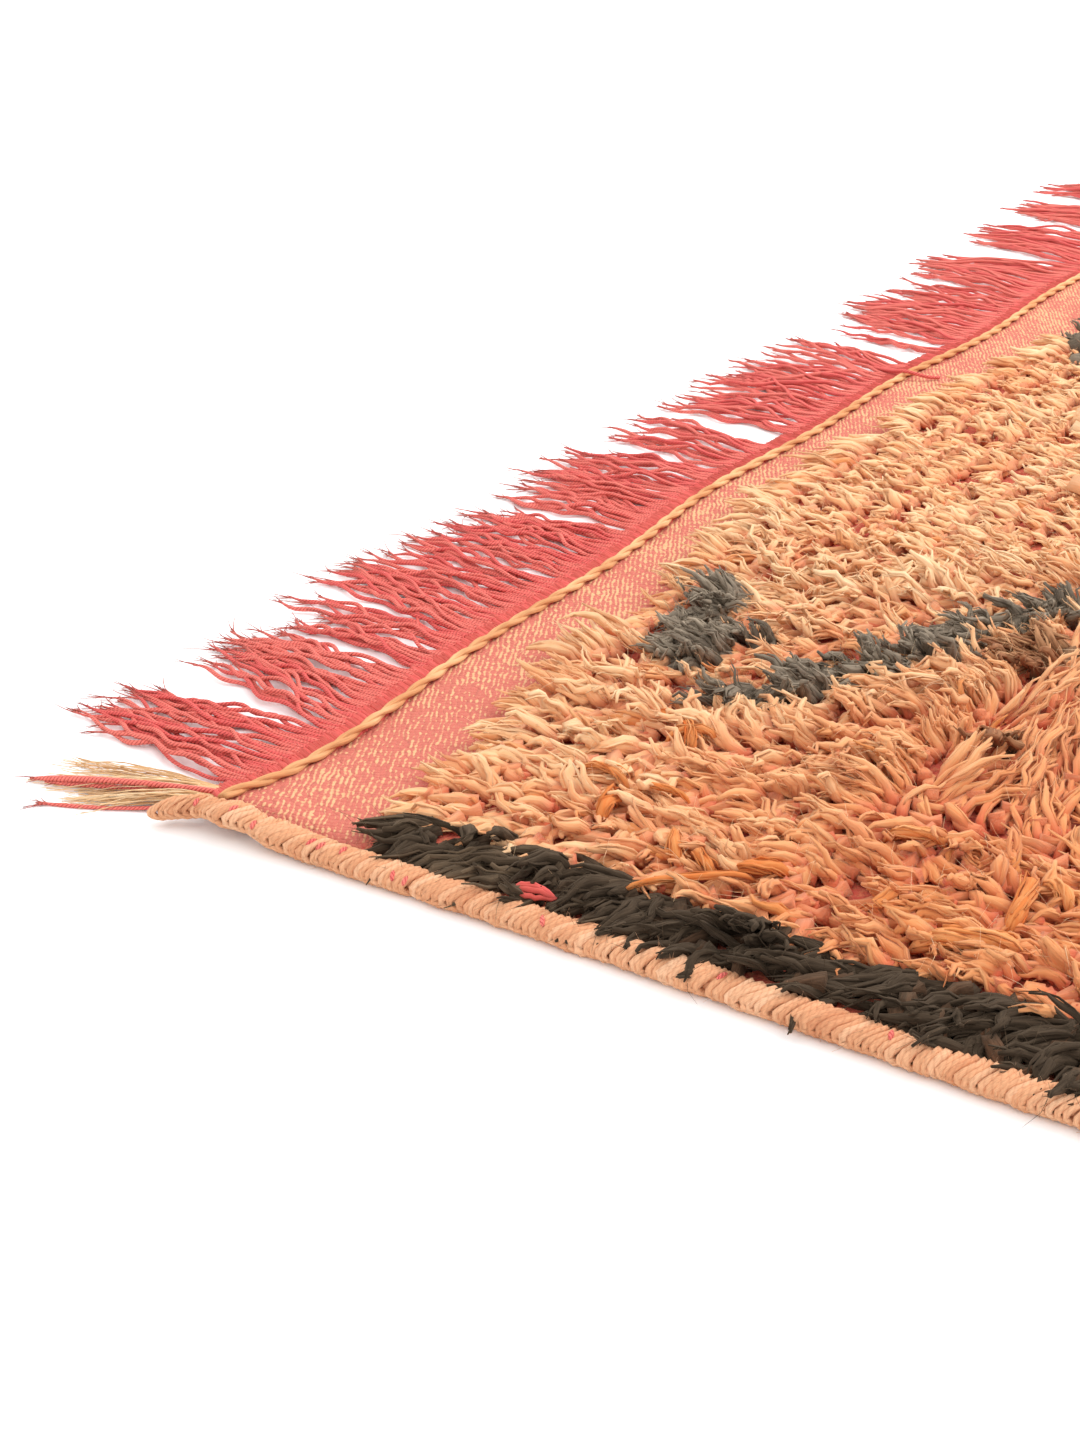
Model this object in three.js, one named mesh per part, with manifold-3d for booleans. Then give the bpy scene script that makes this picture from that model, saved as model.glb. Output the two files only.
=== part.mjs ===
// A hand-knotted wool rug laid flat on the floor: a flat woven ground, a thick knotted pile with dark side borders,
// wrapped edge cords, and at each end a twined cord, a red strip with its fringe and two loose corner bundles.
// Lengths are in mm. X runs along the ends, Y along the length and Z up, with the floor at z = 0.
// The front end and the left side are worked out here. The back end and the right side are the same, turned by half
// a turn about Z. On the front end, "across" is the distance from the left edge of the ground, and "inset" is the
// distance inside the front end line.

import * as THREE from "three";
import Module from "manifold-3d";

const WIDTH = 1180; // woven ground between the edge cords
const LENGTH = 1700; // between the two end lines
const GAP = 0.3; // between neighbouring pieces
const WEAVE_THICK = 3;
const BAND = 37; // bare weave between the twined cord and the pile, on average
const PILE_FLOOR = WEAVE_THICK + GAP;
const PILE_SHOULDER = 7; // the pile's height at its rim
const PILE_THICK = 14; // the pile's mean height
const PILE_LUMP = 2.4; // how far the pile's broad lumps rise and sink
const PILE_RIDGE = 1.8; // how far its ridges, which run across the rug, rise and sink
const PILE_RIM = 0.008; // the share of the length over which the pile rises to its full height
const BORDER_OUT = 1.5; // the dark border's outer and inner sides, as distances from the ground's edge
const BORDER_IN = 30.5;
const CORD_INSET = 10; // the twined cord's mean distance inside the end line
const CORD_RADIUS = 1.75;
const WEAVE_SHOWING = 2.5; // the ground beyond the middle of the twined cord
const STRIP_DEPTH = 10; // the red strip between the twined cord and the fringe
const SELVAGE_WIDTH = 12;
const SELVAGE_HEIGHT = 8;
const SELVAGE_SIDES = 8;
const CORD_SIDES = 6;
const STRAND_PITCH = 13.5;
const STRAND_THICK = 2.6;
const FUSE = 2; // how far a strand runs into the strip it grows out of
const SIDE_STEPS = 32;
const END_STEPS = 26;
const LOCKS_PER_END = 22;
const LOCKS_PER_SIDE = 18;

const WEAVE_CORAL = 0xe08c72;
const PEACH_WOOL = 0xe8a468;
const DARK_WOOL = 0x2d2822;
const CORD_OCHRE = 0xd9a566;
const FRINGE_RED = 0xcd4b50;
const BEIGE_THREAD = 0xc8af82;

// The fringe's bunches, from left to right along the front end: where each one's roots lie across the rug, where its
// tips lie, and how far the tips reach beyond the end line.
const BUNCHES = [
  { rootFrom: 18, rootTo: 69, tipFrom: 34, tipTo: 62, reach: 84 },
  { rootFrom: 70, rootTo: 131, tipFrom: 96, tipTo: 129, reach: 80 },
  { rootFrom: 133, rootTo: 154, tipFrom: 142, tipTo: 158, reach: 68 },
  { rootFrom: 156, rootTo: 241, tipFrom: 166, tipTo: 246, reach: 90 },
  { rootFrom: 242, rootTo: 307, tipFrom: 259, tipTo: 299, reach: 79 },
  { rootFrom: 308, rootTo: 404, tipFrom: 320, tipTo: 392, reach: 87 },
  { rootFrom: 406, rootTo: 446, tipFrom: 410, tipTo: 460, reach: 83 },
  { rootFrom: 467, rootTo: 611, tipFrom: 482, tipTo: 618, reach: 86 },
  { rootFrom: 640, rootTo: 650, tipFrom: 646, tipTo: 652, reach: 67 },
  { rootFrom: 661, rootTo: 774, tipFrom: 672, tipTo: 774, reach: 84 },
  { rootFrom: 776, rootTo: 869, tipFrom: 801, tipTo: 854, reach: 91 },
  { rootFrom: 871, rootTo: 957, tipFrom: 894, tipTo: 953, reach: 91 },
  { rootFrom: 967, rootTo: 1039, tipFrom: 989, tipTo: 1026, reach: 97 },
  { rootFrom: 1048, rootTo: 1116, tipFrom: 1063, tipTo: 1104, reach: 99 },
  { rootFrom: 1118, rootTo: 1168, tipFrom: 1128, tipTo: 1160, reach: 90 },
];

// The tapered end of an edge cord: each station slims the cord and moves it out, past the corner of the ground.
const TAIL = [
  { run: 9.5, slim: 0.86, out: 1.5 },
  { run: 17, slim: 0.68, out: 5 },
  { run: 21, slim: 0.4, out: 8 },
];

// The corner bundle's threads: root and tip across the rug, and how far the tip reaches beyond the strip.
const CORNER_THREADS = [
  { root: 1.6, tip: -25, reach: 36 },
  { root: 3.2, tip: -22, reach: 56 },
  { root: 4.9, tip: -17, reach: 62 },
  { root: 6.6, tip: -12, reach: 66 },
  { root: 8.3, tip: -7, reach: 64 },
  { root: 10.0, tip: -2, reach: 61 },
  { root: 11.7, tip: 4, reach: 54 },
];

const wasm = await Module();
wasm.setup();
const { Manifold, Mesh } = wasm;

// A repeatable stream of numbers from 0 to 1.
function randomStream(seed) {
  let state = seed;
  return () => {
    state = (state * 16807) % 2147483647;
    return state / 2147483647;
  };
}

const mix = (a, b, t) => a + (b - a) * t;
const wave = (distance, wavelength, crest) => Math.cos((2 * Math.PI * (distance - crest)) / wavelength);

// How far inside the end line the twined cord lies.
function cordInset(across) {
  return CORD_INSET + 5 * wave(across, 720, 64) + 2.2 * wave(across, 208, 57);
}

// How far inside the end line the pile begins.
function pileInset(across) {
  return cordInset(across) + BAND + 8 * wave(across, 760, 20);
}

// How far the left edge of the ground bows out.
function bowOut(inset) {
  return 4 - 4 * wave(inset, 640, 90);
}

const endY = (inset) => LENGTH / 2 - inset;
const leftX = (y) => -WIDTH / 2 - bowOut(LENGTH / 2 - y);
const rightX = (y) => -leftX(-y);
const acrossOf = (x) => x + WIDTH / 2;
const weaveEndY = (x) => endY(cordInset(acrossOf(x))) + WEAVE_SHOWING;
const stripRootY = (x) => weaveEndY(x) + GAP + STRIP_DEPTH;
const pileEndY = (x) => endY(pileInset(acrossOf(x)));

// x at a share of the way from the left edge to the right one, along the front end.
function alongEnd(share) {
  const y = endY(CORD_INSET);
  return mix(leftX(y), rightX(y), share);
}

function steps(count) {
  return Array.from({ length: count + 1 }, (_, i) => i / count);
}

function solid(points, triangles) {
  const vertProperties = new Float32Array(points);
  const triVerts = new Uint32Array(triangles);
  return new Manifold(new Mesh({ numProp: 3, vertProperties, triVerts }));
}

// A closed solid through rings of points. Each ring runs anticlockwise as seen from the last ring's side.
function loft(rings) {
  const count = rings[0].length;
  const triangles = [];
  for (let r = 0; r + 1 < rings.length; r++) {
    for (let i = 0; i < count; i++) {
      const a = r * count + i;
      const b = r * count + ((i + 1) % count);
      triangles.push(a, b, b + count, a, b + count, a + count);
    }
  }
  const last = (rings.length - 1) * count;
  for (let i = 1; i + 1 < count; i++) {
    triangles.push(0, i + 1, i, last, last + i, last + i + 1);
  }
  return solid(rings.flat(2), triangles);
}

// A flat plate with an anticlockwise outline of [x, y] points.
function plate(outline, bottom, top) {
  return Manifold.extrude([outline], top - bottom).translate([0, 0, bottom]);
}

const fuse = (solids) => Manifold.union(solids);
const turned = (shape) => shape.rotate([0, 0, 180]);

// A four-sided strand with a flat underside, through stations of {x, y, bottom, width, thick}.
function strand(stations) {
  const rings = stations.map((station, i) => {
    const from = stations[Math.max(i - 1, 0)];
    const to = stations[Math.min(i + 1, stations.length - 1)];
    const run = Math.hypot(to.x - from.x, to.y - from.y);
    const sideX = (to.y - from.y) / run;
    const sideY = (from.x - to.x) / run;
    const corner = (share, z) => [
      station.x + sideX * station.width * share,
      station.y + sideY * station.width * share,
      z,
    ];
    const top = station.bottom + station.thick;
    return [
      corner(-0.5, station.bottom),
      corner(-0.34, top),
      corner(0.34, top),
      corner(0.5, station.bottom),
    ];
  });
  return loft(rings);
}

// The corners of a ring with a flat underside, as shares of its half width and half height.
function ringCorners(sides) {
  const turn = Math.PI / 2 + Math.PI / sides;
  return Array.from({ length: sides }, (_, i) => {
    const angle = turn + (2 * Math.PI * i) / sides;
    return [Math.cos(angle), Math.sin(angle)];
  });
}

// The share of its half height at which a ring's flat underside lies.
const flatShare = (sides) => Math.cos(Math.PI / sides);

// The ground's outline follows the edge cords and the end lines.
function groundOutline() {
  const cornerY = weaveEndY(-WIDTH / 2);
  const farY = -weaveEndY(WIDTH / 2);
  const side = steps(SIDE_STEPS).map((t) => {
    const y = mix(cornerY, farY, t);
    return [leftX(y), y];
  });
  const end = steps(END_STEPS).map((t) => {
    const x = alongEnd(t);
    return [-x, -weaveEndY(x)];
  });
  const half = [...side.slice(0, -1), ...end.reverse().slice(1, -1)];
  return [...half, ...half.map(([x, y]) => [-x, -y])];
}

// The left edge cord: a lumpy wrapped tube whose ends taper into tails that bend away from the rug.
function selvage() {
  const random = randomStream(41);
  const flat = flatShare(SELVAGE_SIDES);
  const cornerY = weaveEndY(-WIDTH / 2);
  const farY = -weaveEndY(WIDTH / 2);
  const body = steps(SIDE_STEPS).map((t) => {
    const y = mix(farY, cornerY, t);
    const width = SELVAGE_WIDTH * mix(0.94, 1.04, random());
    const height = SELVAGE_HEIGHT * mix(0.94, 1.02, random());
    return { x: leftX(y) - GAP - (width / 2) * flat, y, width, height };
  });
  const tail = (end, way) =>
    TAIL.map(({ run, slim, out }) => ({
      x: end.x - out,
      y: end.y + way * run,
      width: end.width * slim,
      height: end.height * slim,
    }));
  const line = [...tail(body[0], -1).reverse(), ...body, ...tail(body[SIDE_STEPS], 1)];
  const corners = ringCorners(SELVAGE_SIDES);
  return loft(
    line.map(({ x, y, width, height }) =>
      corners.map(([reach, rise]) => [x - (reach * width) / 2, y, ((flat + rise) * height) / 2]),
    ),
  );
}

// The front twined cord lies on the ground's end.
function twinedCord() {
  const middle = WEAVE_THICK + GAP + CORD_RADIUS * flatShare(CORD_SIDES);
  const corners = ringCorners(CORD_SIDES);
  const line = steps(END_STEPS).map((t) => mix(alongEnd(0) + 1, alongEnd(1) - 1, t));
  return loft(
    line.map((x) =>
      corners.map(([reach, rise]) => [
        x,
        endY(cordInset(acrossOf(x))) + reach * CORD_RADIUS,
        middle + rise * CORD_RADIUS,
      ]),
    ),
  );
}

// The strip's outer edge as built, which is straight between its stations.
function stripEdgeY(x) {
  const place = ((x - alongEnd(0)) / (alongEnd(1) - alongEnd(0))) * END_STEPS;
  const station = Math.floor(place);
  const before = stripRootY(alongEnd(station / END_STEPS));
  const after = stripRootY(alongEnd((station + 1) / END_STEPS));
  return mix(before, after, place - station);
}

function strip() {
  const inner = steps(END_STEPS).map((t) => {
    const x = alongEnd(t);
    return [x, weaveEndY(x) + GAP];
  });
  const outer = inner.map(([x]) => [x, stripRootY(x)]).reverse();
  return plate([...inner, ...outer], 0, WEAVE_THICK);
}

// One bunch of fringe: strands that draw together towards a ragged row of tips.
function bunch({ rootFrom, rootTo, tipFrom, tipTo, reach }, random) {
  const count = Math.max(1, Math.round((rootTo - rootFrom) / STRAND_PITCH));
  const rootPitch = (rootTo - rootFrom) / count;
  const tipPitch = (tipTo - tipFrom) / count;
  return Array.from({ length: count }, (_, i) => {
    const place = (i + 0.5) / count;
    const rootX = mix(rootFrom, rootTo, place) - WIDTH / 2;
    const tipX = mix(tipFrom, tipTo, place) - WIDTH / 2;
    const rootY = stripRootY(rootX);
    const edge = Math.abs(2 * place - 1) ** 3;
    const tipY = LENGTH / 2 + reach * mix(1, 0.84, edge) * mix(0.93, 1.03, random());
    const pitchAt = (t) => mix(rootPitch, tipPitch, t);
    const station = (t, width, thick) => ({
      x: mix(rootX, tipX, t * t * (3 - 2 * t)),
      y: mix(rootY - FUSE, tipY, t),
      bottom: 0,
      width,
      thick,
    });
    return strand([
      station(0, pitchAt(0) * 0.88, STRAND_THICK),
      station(0.55, pitchAt(0.55) * 0.8, STRAND_THICK * 0.9),
      station(1, Math.min(pitchAt(1) * 0.4, 3), STRAND_THICK * 0.5),
    ]);
  });
}

function fringe() {
  const random = randomStream(7);
  const strands = BUNCHES.flatMap((row) => bunch(row, random));
  return fuse([strip(), ...strands]);
}

// A bundle grows out of a small root block beside the strip, near the corner at cornerX. way is 1 for the left
// corner and -1 for the right one.
function cornerBundle(cornerX, way) {
  const blockTo = stripEdgeY(cornerX + 8 * way) + 4.5;
  const first = CORNER_THREADS[0].root - 0.8;
  const last = CORNER_THREADS[CORNER_THREADS.length - 1].root + 0.8;
  const xs = [first, last].map((across) => cornerX + way * across).sort((a, b) => a - b);
  const outline = [
    [xs[0], stripEdgeY(xs[0]) + GAP],
    [xs[1], stripEdgeY(xs[1]) + GAP],
    [xs[1], blockTo],
    [xs[0], blockTo],
  ];
  const threads = CORNER_THREADS.map(({ root, tip, reach }) => {
    const station = (t, width, thick) => ({
      x: cornerX + way * mix(root, tip, t ** 1.2),
      y: mix(blockTo - 1, blockTo + reach - 4, t),
      bottom: 0,
      width,
      thick,
    });
    return strand([station(0, 1.3, 2.2), station(0.5, 2, 2.2), station(1, 1.2, 1.2)]);
  });
  return fuse([plate(outline, 0, STRAND_THICK), ...threads]);
}

// Shares from 0 to 1 with an extra one close to each end.
function rimmedShares(count, rim) {
  const middle = steps(count).map((t) => mix(2.6 * rim, 1 - 2.6 * rim, t));
  return [0, rim, ...middle, 1 - rim, 1];
}

const PILE_ROWS = rimmedShares(40, PILE_RIM);
const PILE_COLUMNS = rimmedShares(9, 1.5 * PILE_RIM);

// A point of the pile by its shares of the width and the length, between the borders and the two pile ends.
function pilePlace(shareX, shareY) {
  const roughX = mix(-0.5, 0.5, shareX) * (WIDTH - 2 * BORDER_IN);
  const y = mix(-pileEndY(-roughX), pileEndY(roughX), shareY);
  const x = mix(leftX(y) + BORDER_IN + GAP, rightX(y) - BORDER_IN - GAP, shareX);
  return [x, y];
}

// The pile's height above its floor at a station of row j.
function pileHeight(x, y, j) {
  const broad = Math.sin(x / 83 + 1.7 * Math.sin(y / 131)) * Math.cos(y / 71 + Math.sin(x / 97));
  const fine = Math.sin(x / 29 + y / 37) * Math.sin(y / 23 - x / 61);
  const ridge = j % 2 === 0 ? -PILE_RIDGE : PILE_RIDGE;
  return PILE_THICK + PILE_LUMP * (0.5 * broad + 0.5 * fine) + ridge * (1 + 0.4 * Math.sin(x / 41 + j));
}

// The pile field: a lumpy slab with a low rounded rim.
function pileSlab() {
  const columns = PILE_COLUMNS.length;
  const rows = PILE_ROWS.length;
  const points = [];
  PILE_COLUMNS.forEach((shareX, i) =>
    PILE_ROWS.forEach((shareY, j) => {
      const [x, y] = pilePlace(shareX, shareY);
      const ring = Math.min(i, columns - 1 - i, j, rows - 1 - j);
      const height = ring === 0 ? PILE_SHOULDER : pileHeight(x, y, j) - (ring === 1 ? 2.5 : 0);
      points.push(x, y, PILE_FLOOR + height);
    }),
  );
  const at = (i, j) => i * rows + j;
  const triangles = [];
  for (let i = 0; i + 1 < columns; i++) {
    for (let j = 0; j + 1 < rows; j++) {
      triangles.push(at(i, j), at(i + 1, j), at(i + 1, j + 1), at(i, j), at(i + 1, j + 1), at(i, j + 1));
    }
  }
  const rim = [];
  for (let i = 0; i + 1 < columns; i++) rim.push(at(i, 0));
  for (let j = 0; j + 1 < rows; j++) rim.push(at(columns - 1, j));
  for (let i = columns - 1; i > 0; i--) rim.push(at(i, rows - 1));
  for (let j = rows - 1; j > 0; j--) rim.push(at(0, j));
  const under = points.length / 3;
  for (const top of rim) points.push(points[3 * top], points[3 * top + 1], PILE_FLOOR);
  const centre = under + rim.length;
  points.push(0, 0, PILE_FLOOR);
  rim.forEach((top, k) => {
    const next = (k + 1) % rim.length;
    triangles.push(top, under + k, under + next, top, under + next, rim[next]);
    triangles.push(centre, under + next, under + k);
  });
  return solid(points, triangles);
}

// Locks of the front pile end, which hang over the bare weave.
function endLocks() {
  const random = randomStream(19);
  const from = leftX(LENGTH / 2) + BORDER_IN + 14;
  const to = rightX(LENGTH / 2) - BORDER_IN - 14;
  return Array.from({ length: LOCKS_PER_END }, (_, i) => {
    const x = mix(from, to, (i + mix(0.3, 0.7, random())) / LOCKS_PER_END);
    const lean = mix(-9, 3, random());
    const reach = mix(6, 13, random());
    const width = mix(24, 36, random());
    const y = pileEndY(x);
    return strand([
      { x, y: y - 12, bottom: PILE_FLOOR + 0.5, width: width * 0.8, thick: 8.5 },
      { x: x + lean * 0.5, y: y + reach * 0.45, bottom: PILE_FLOOR, width, thick: 6.5 },
      { x: x + lean, y: y + reach, bottom: PILE_FLOOR, width: width * 0.4, thick: 2.6 },
    ]);
  });
}

function pileField() {
  const locks = endLocks();
  return fuse([pileSlab(), ...locks, ...locks.map(turned)]);
}

// The left dark border: a lumpy ridge with locks that lean out over the edge cord and towards the front.
function border() {
  const random = randomStream(83);
  const sideY = PILE_ROWS.map((share) => pilePlace(0, share)[1]);
  const backY = sideY[0];
  const frontY = sideY[sideY.length - 1];
  const rings = sideY.map((y, j) => {
    const edge = leftX(y);
    const crest = y === backY || y === frontY ? PILE_SHOULDER : pileHeight(edge, 2 * y, j) - 2;
    const outer = edge + BORDER_OUT + mix(0, 2, random());
    const inner = edge + BORDER_IN;
    const middle = mix(outer, inner, 0.55);
    return [
      [outer, y, PILE_FLOOR],
      [outer - 0.8, y, PILE_FLOOR + PILE_SHOULDER - 1.5],
      [middle, y, PILE_FLOOR + crest],
      [inner, y, PILE_FLOOR + PILE_SHOULDER],
      [inner, y, PILE_FLOOR],
    ];
  });
  const locks = Array.from({ length: LOCKS_PER_SIDE }, (_, i) => {
    const y = mix(backY + 12, frontY - 30, (i + mix(0.2, 0.8, random())) / LOCKS_PER_SIDE);
    const edge = leftX(y);
    const drift = mix(10, 20, random());
    const over = mix(1.5, 4.5, random());
    const width = mix(17, 26, random());
    const bottom = SELVAGE_HEIGHT + 1;
    return strand([
      { x: edge + 16, y: y - 4, bottom: bottom - 2, width, thick: 4.5 },
      { x: edge + 5, y: y + drift * 0.6, bottom, width: width * 0.8, thick: 4 },
      { x: edge - over, y: y + drift, bottom, width: width * 0.35, thick: 2 },
    ]);
  });
  return fuse([loft(rings), ...locks]);
}

function woolMesh(name, shape, color) {
  const mesh = shape.getMesh();
  const geometry = new THREE.BufferGeometry();
  geometry.setAttribute("position", new THREE.BufferAttribute(mesh.vertProperties, 3));
  geometry.setIndex(new THREE.BufferAttribute(mesh.triVerts, 1));
  geometry.computeVertexNormals();
  const material = new THREE.MeshStandardMaterial({ color, roughness: 0.95, metalness: 0, flatShading: true });
  const made = new THREE.Mesh(geometry, material);
  made.name = name;
  return made;
}

const leftSelvage = selvage();
const leftBorder = border();
const frontCord = twinedCord();
const frontFringe = fringe();
const leftBundle = cornerBundle(leftX(LENGTH / 2), 1);
const rightBundle = cornerBundle(rightX(LENGTH / 2), -1);

const group = new THREE.Group();
group.name = "rug";
group.add(
  woolMesh("ground_weave", plate(groundOutline(), 0, WEAVE_THICK), WEAVE_CORAL),
  woolMesh("pile", pileField(), PEACH_WOOL),
  woolMesh("border_left", leftBorder, DARK_WOOL),
  woolMesh("border_right", turned(leftBorder), DARK_WOOL),
  woolMesh("selvage_left", leftSelvage, PEACH_WOOL),
  woolMesh("selvage_right", turned(leftSelvage), PEACH_WOOL),
  woolMesh("twined_cord_front", frontCord, CORD_OCHRE),
  woolMesh("twined_cord_back", turned(frontCord), CORD_OCHRE),
  woolMesh("fringe_front", frontFringe, FRINGE_RED),
  woolMesh("fringe_back", turned(frontFringe), FRINGE_RED),
  woolMesh("corner_tassel_1", leftBundle, BEIGE_THREAD),
  woolMesh("corner_tassel_2", rightBundle, BEIGE_THREAD),
  woolMesh("corner_tassel_3", turned(leftBundle), BEIGE_THREAD),
  woolMesh("corner_tassel_4", turned(rightBundle), BEIGE_THREAD),
);

export default group;
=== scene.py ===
import bpy
import numpy as np
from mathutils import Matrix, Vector


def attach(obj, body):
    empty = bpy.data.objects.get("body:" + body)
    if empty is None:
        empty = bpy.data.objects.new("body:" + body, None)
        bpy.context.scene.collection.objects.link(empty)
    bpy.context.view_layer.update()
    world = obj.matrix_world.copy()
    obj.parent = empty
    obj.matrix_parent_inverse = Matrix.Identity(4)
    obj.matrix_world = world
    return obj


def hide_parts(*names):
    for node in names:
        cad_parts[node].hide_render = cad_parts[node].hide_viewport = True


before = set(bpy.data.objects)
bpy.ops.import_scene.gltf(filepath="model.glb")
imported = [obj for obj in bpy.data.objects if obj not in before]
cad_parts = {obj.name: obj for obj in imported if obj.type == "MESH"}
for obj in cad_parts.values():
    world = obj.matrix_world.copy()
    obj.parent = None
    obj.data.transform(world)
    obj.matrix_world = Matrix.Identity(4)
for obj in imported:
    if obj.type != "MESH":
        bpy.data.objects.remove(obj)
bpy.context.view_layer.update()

MM = 0.001

# The solid part's own sizes, and its waves: how high, how long, and where a crest is.
WIDTH = 1180
LENGTH = 1700
GAP = 0.3
WEAVE_THICK = 3
BAND = 37
BORDER_IN = 30.5
CORD_INSET = 10
WEAVE_SHOWING = 2.5
STRIP_DEPTH = 10
SELVAGE_WIDTH = 12
SELVAGE_HEIGHT = 8
CORD_WAVE = (5, 720, 64)
CORD_RIPPLE = (2.2, 208, 57)
PILE_WAVE = (8, 760, 20)
SIDE_WAVE = (4, 640, 90)

# The front left corner's lift: how high, where along the side it is highest, and its size inwards and across.
# LOWEST is the least height of any point above the floor.
LIFT_HIGH = 4.5
LIFT_INSET = 20
LIFT_LONG = 24
LIFT_WIDE = 22
LOWEST = 0.02

# The edge cords' tapered tails beyond the ground: how slim they are and how far out, at distances along them.
TAIL_AT = [0, 6, 12, 15]
TAIL_SLIM = [1, 1.05, 1.05, 0.8]
TAIL_OUT = [0, 2, 5.5, 8]

# The fringe's bunches along the front end: roots and tips across the rug, and reach beyond the end line.
BUNCH_FIELDS = ("root", "tip", "reach")
BUNCHES = [
    dict(zip(BUNCH_FIELDS, row))
    for row in (
        ((18, 69), (32, 63), 84),
        ((70, 131), (96, 129), 80),
        ((133, 154), (142, 158), 68),
        ((156, 241), (166, 246), 90),
        ((242, 307), (259, 299), 79),
        ((308, 404), (320, 392), 87),
        ((406, 446), (410, 460), 83),
        ((467, 611), (482, 618), 86),
        ((640, 650), (646, 652), 67),
        ((661, 774), (672, 774), 84),
        ((776, 869), (801, 854), 91),
        ((871, 957), (894, 953), 91),
        ((967, 1039), (989, 1026), 97),
        ((1048, 1116), (1063, 1104), 99),
        ((1118, 1168), (1128, 1160), 90),
    )
]
FINGER_PITCH = 9

# The rows and knots of the pile, near the camera and beyond it, and how far inside the ground they start.
ROW_PITCH = 16
KNOT_PITCH = 6.8
FAR_ROW_PITCH = 19
FAR_KNOT_PITCH = 11.8
FAR_BORDER_ROWS = 12
FAR_BORDER_PITCH = 8
PILE_FROM_END = 56
FIRST_ROW = 13
KNOTS_FROM_LEFT = 4
KNOTS_FROM_RIGHT = 2
BORDER_START = 17
BORDER_FORWARD = 6

# Where the pile is seen close up: the corner before the camera, in pieces that are parted at three distances.
# Beyond it the locks are fewer and thicker.
NEAR_INSET = 346
NEAR_SLOPE = 0.38
NEAR_ACROSS = 740
BACK_INSET = 135
RIDGES_ACROSS = 330
INNER_ACROSS = 150
FAR_STATIONS = 4
FAR_LENGTH = 27
FAR_THICK = 6.3
FAR_SUNK = 0.4
FAR_PRESSED_ABOVE = 12
FAR_ALONG = np.array([[0.15, 0.32, 0.6, 1.0]])
UNDERWOOL_ALONG = np.array([[0.2, 0.3, 0.42, 0.55]])

# How the locks lie: towards the left of the picture, with a swirl, and combed the other way beyond a parting.
# Each pair of distances says where a change begins and where it is complete. DEEP_SHARE is the share of locks
# that are dyed a deeper orange.
IMAGE_LEFT = np.radians(122)
ROOT_HEIGHT = 2.4
PRESSED_ABOVE = 17
PRESSED_TO = 0.35
SWIRL_ACROSS = 97
SWIRL_INSET = 247
SWIRL_SIZE = 24
COMBED_HEADING = (-24, 16)
COMBED_FROM_INSET = (200, 214)
COMBED_TO_INSET = (300, 370)
COMBED_FROM_ACROSS = (95, 125)
COMBED_TO_ACROSS = (380, 520)
PARTING_INSET = 206
PARTING_ACROSS = (115, 400)
PARTING_KNOTS = 60
RIDGED_ACROSS = (280, 400)
CORNER_INSET = (110, 250)
DEEP_SHARE = 0.04

# The near pile's strands, and how each lock waves up and down and sideways.
LOCK_STATIONS = 7
LOCK_SIDES = 5
SIDE_STATIONS = 6
STRAND_TWIST = 2.4
STRAND_CRIMP = 0.2
FUZZ_THICK = 0.1
FUZZ_STRAY = 0.75
CURL_LENGTH = 14
KINK_UP = 0.35
KINK_SIDE = 0.65

# How each kind of lock grows: locks to a knot, radius, strands beside each and their radius in parts of the
# lock's, length, the rise at its root and at its tip, curl, how tightly neighbours clump, the width of a
# clump, and stray fibres.
KIND_FIELDS = ("each", "thick", "beside", "share", "length", "rise", "fall", "curl", "pull", "group", "fuzz")
PEACH_LOCKS = dict(zip(KIND_FIELDS, (3, 1.45, 2, 0.45, 27, 1.25, 0.05, 1.1, 0.05, 7, 0.9)))
RIDGE_LOCKS = PEACH_LOCKS | {"thick": 1.6, "beside": 1}
ZIGZAG_LOCKS = dict(zip(KIND_FIELDS, (3, 1.6, 3, 0.4, 20, 1.35, 0.35, 0.9, 0.1, 9, 2.5)))
BORDER_LOCKS = dict(zip(KIND_FIELDS, (4, 1.75, 2, 0.42, 25, 1.05, -0.1, 0.6, 0.1, 9, 1.5)))
BROWN_LOCKS = dict(zip(KIND_FIELDS, (4, 1.5, 3, 0.4, 25, 1.35, 0.35, 0.8, 0.2, 8, 2.0)))

# Patches of brown knots, as (across, inset, radius).
BROWN_SPOTS = [(262, 208, 13), (180, 220, 7), (760, 640, 12), (420, 1130, 12), (930, 1310, 12)]

# The dark zigzag before the camera, as lines of (across, inset), and the regular one beyond.
ZIGZAG_LINES = [
    [(261, 82), (243, 74), (215, 80), (186, 92)],
    [(198, 93), (221, 108)],
    [(158, 117), (179, 136), (209, 152), (231, 165), (283, 179), (313, 203)],
]
ZIGZAG_HALF = 8.6
ZIGZAG_PITCH = 2.6
ZIGZAG_DRAWN_TO = (380, 225)
ZIGZAG_FAR_HALF = 19
ZIGZAG_SHIFTS = (150, 632, 1080)
ZIGZAG_SWING = 236
ZIGZAG_START = 115
ZIGZAG_PERIOD = 290

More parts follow.
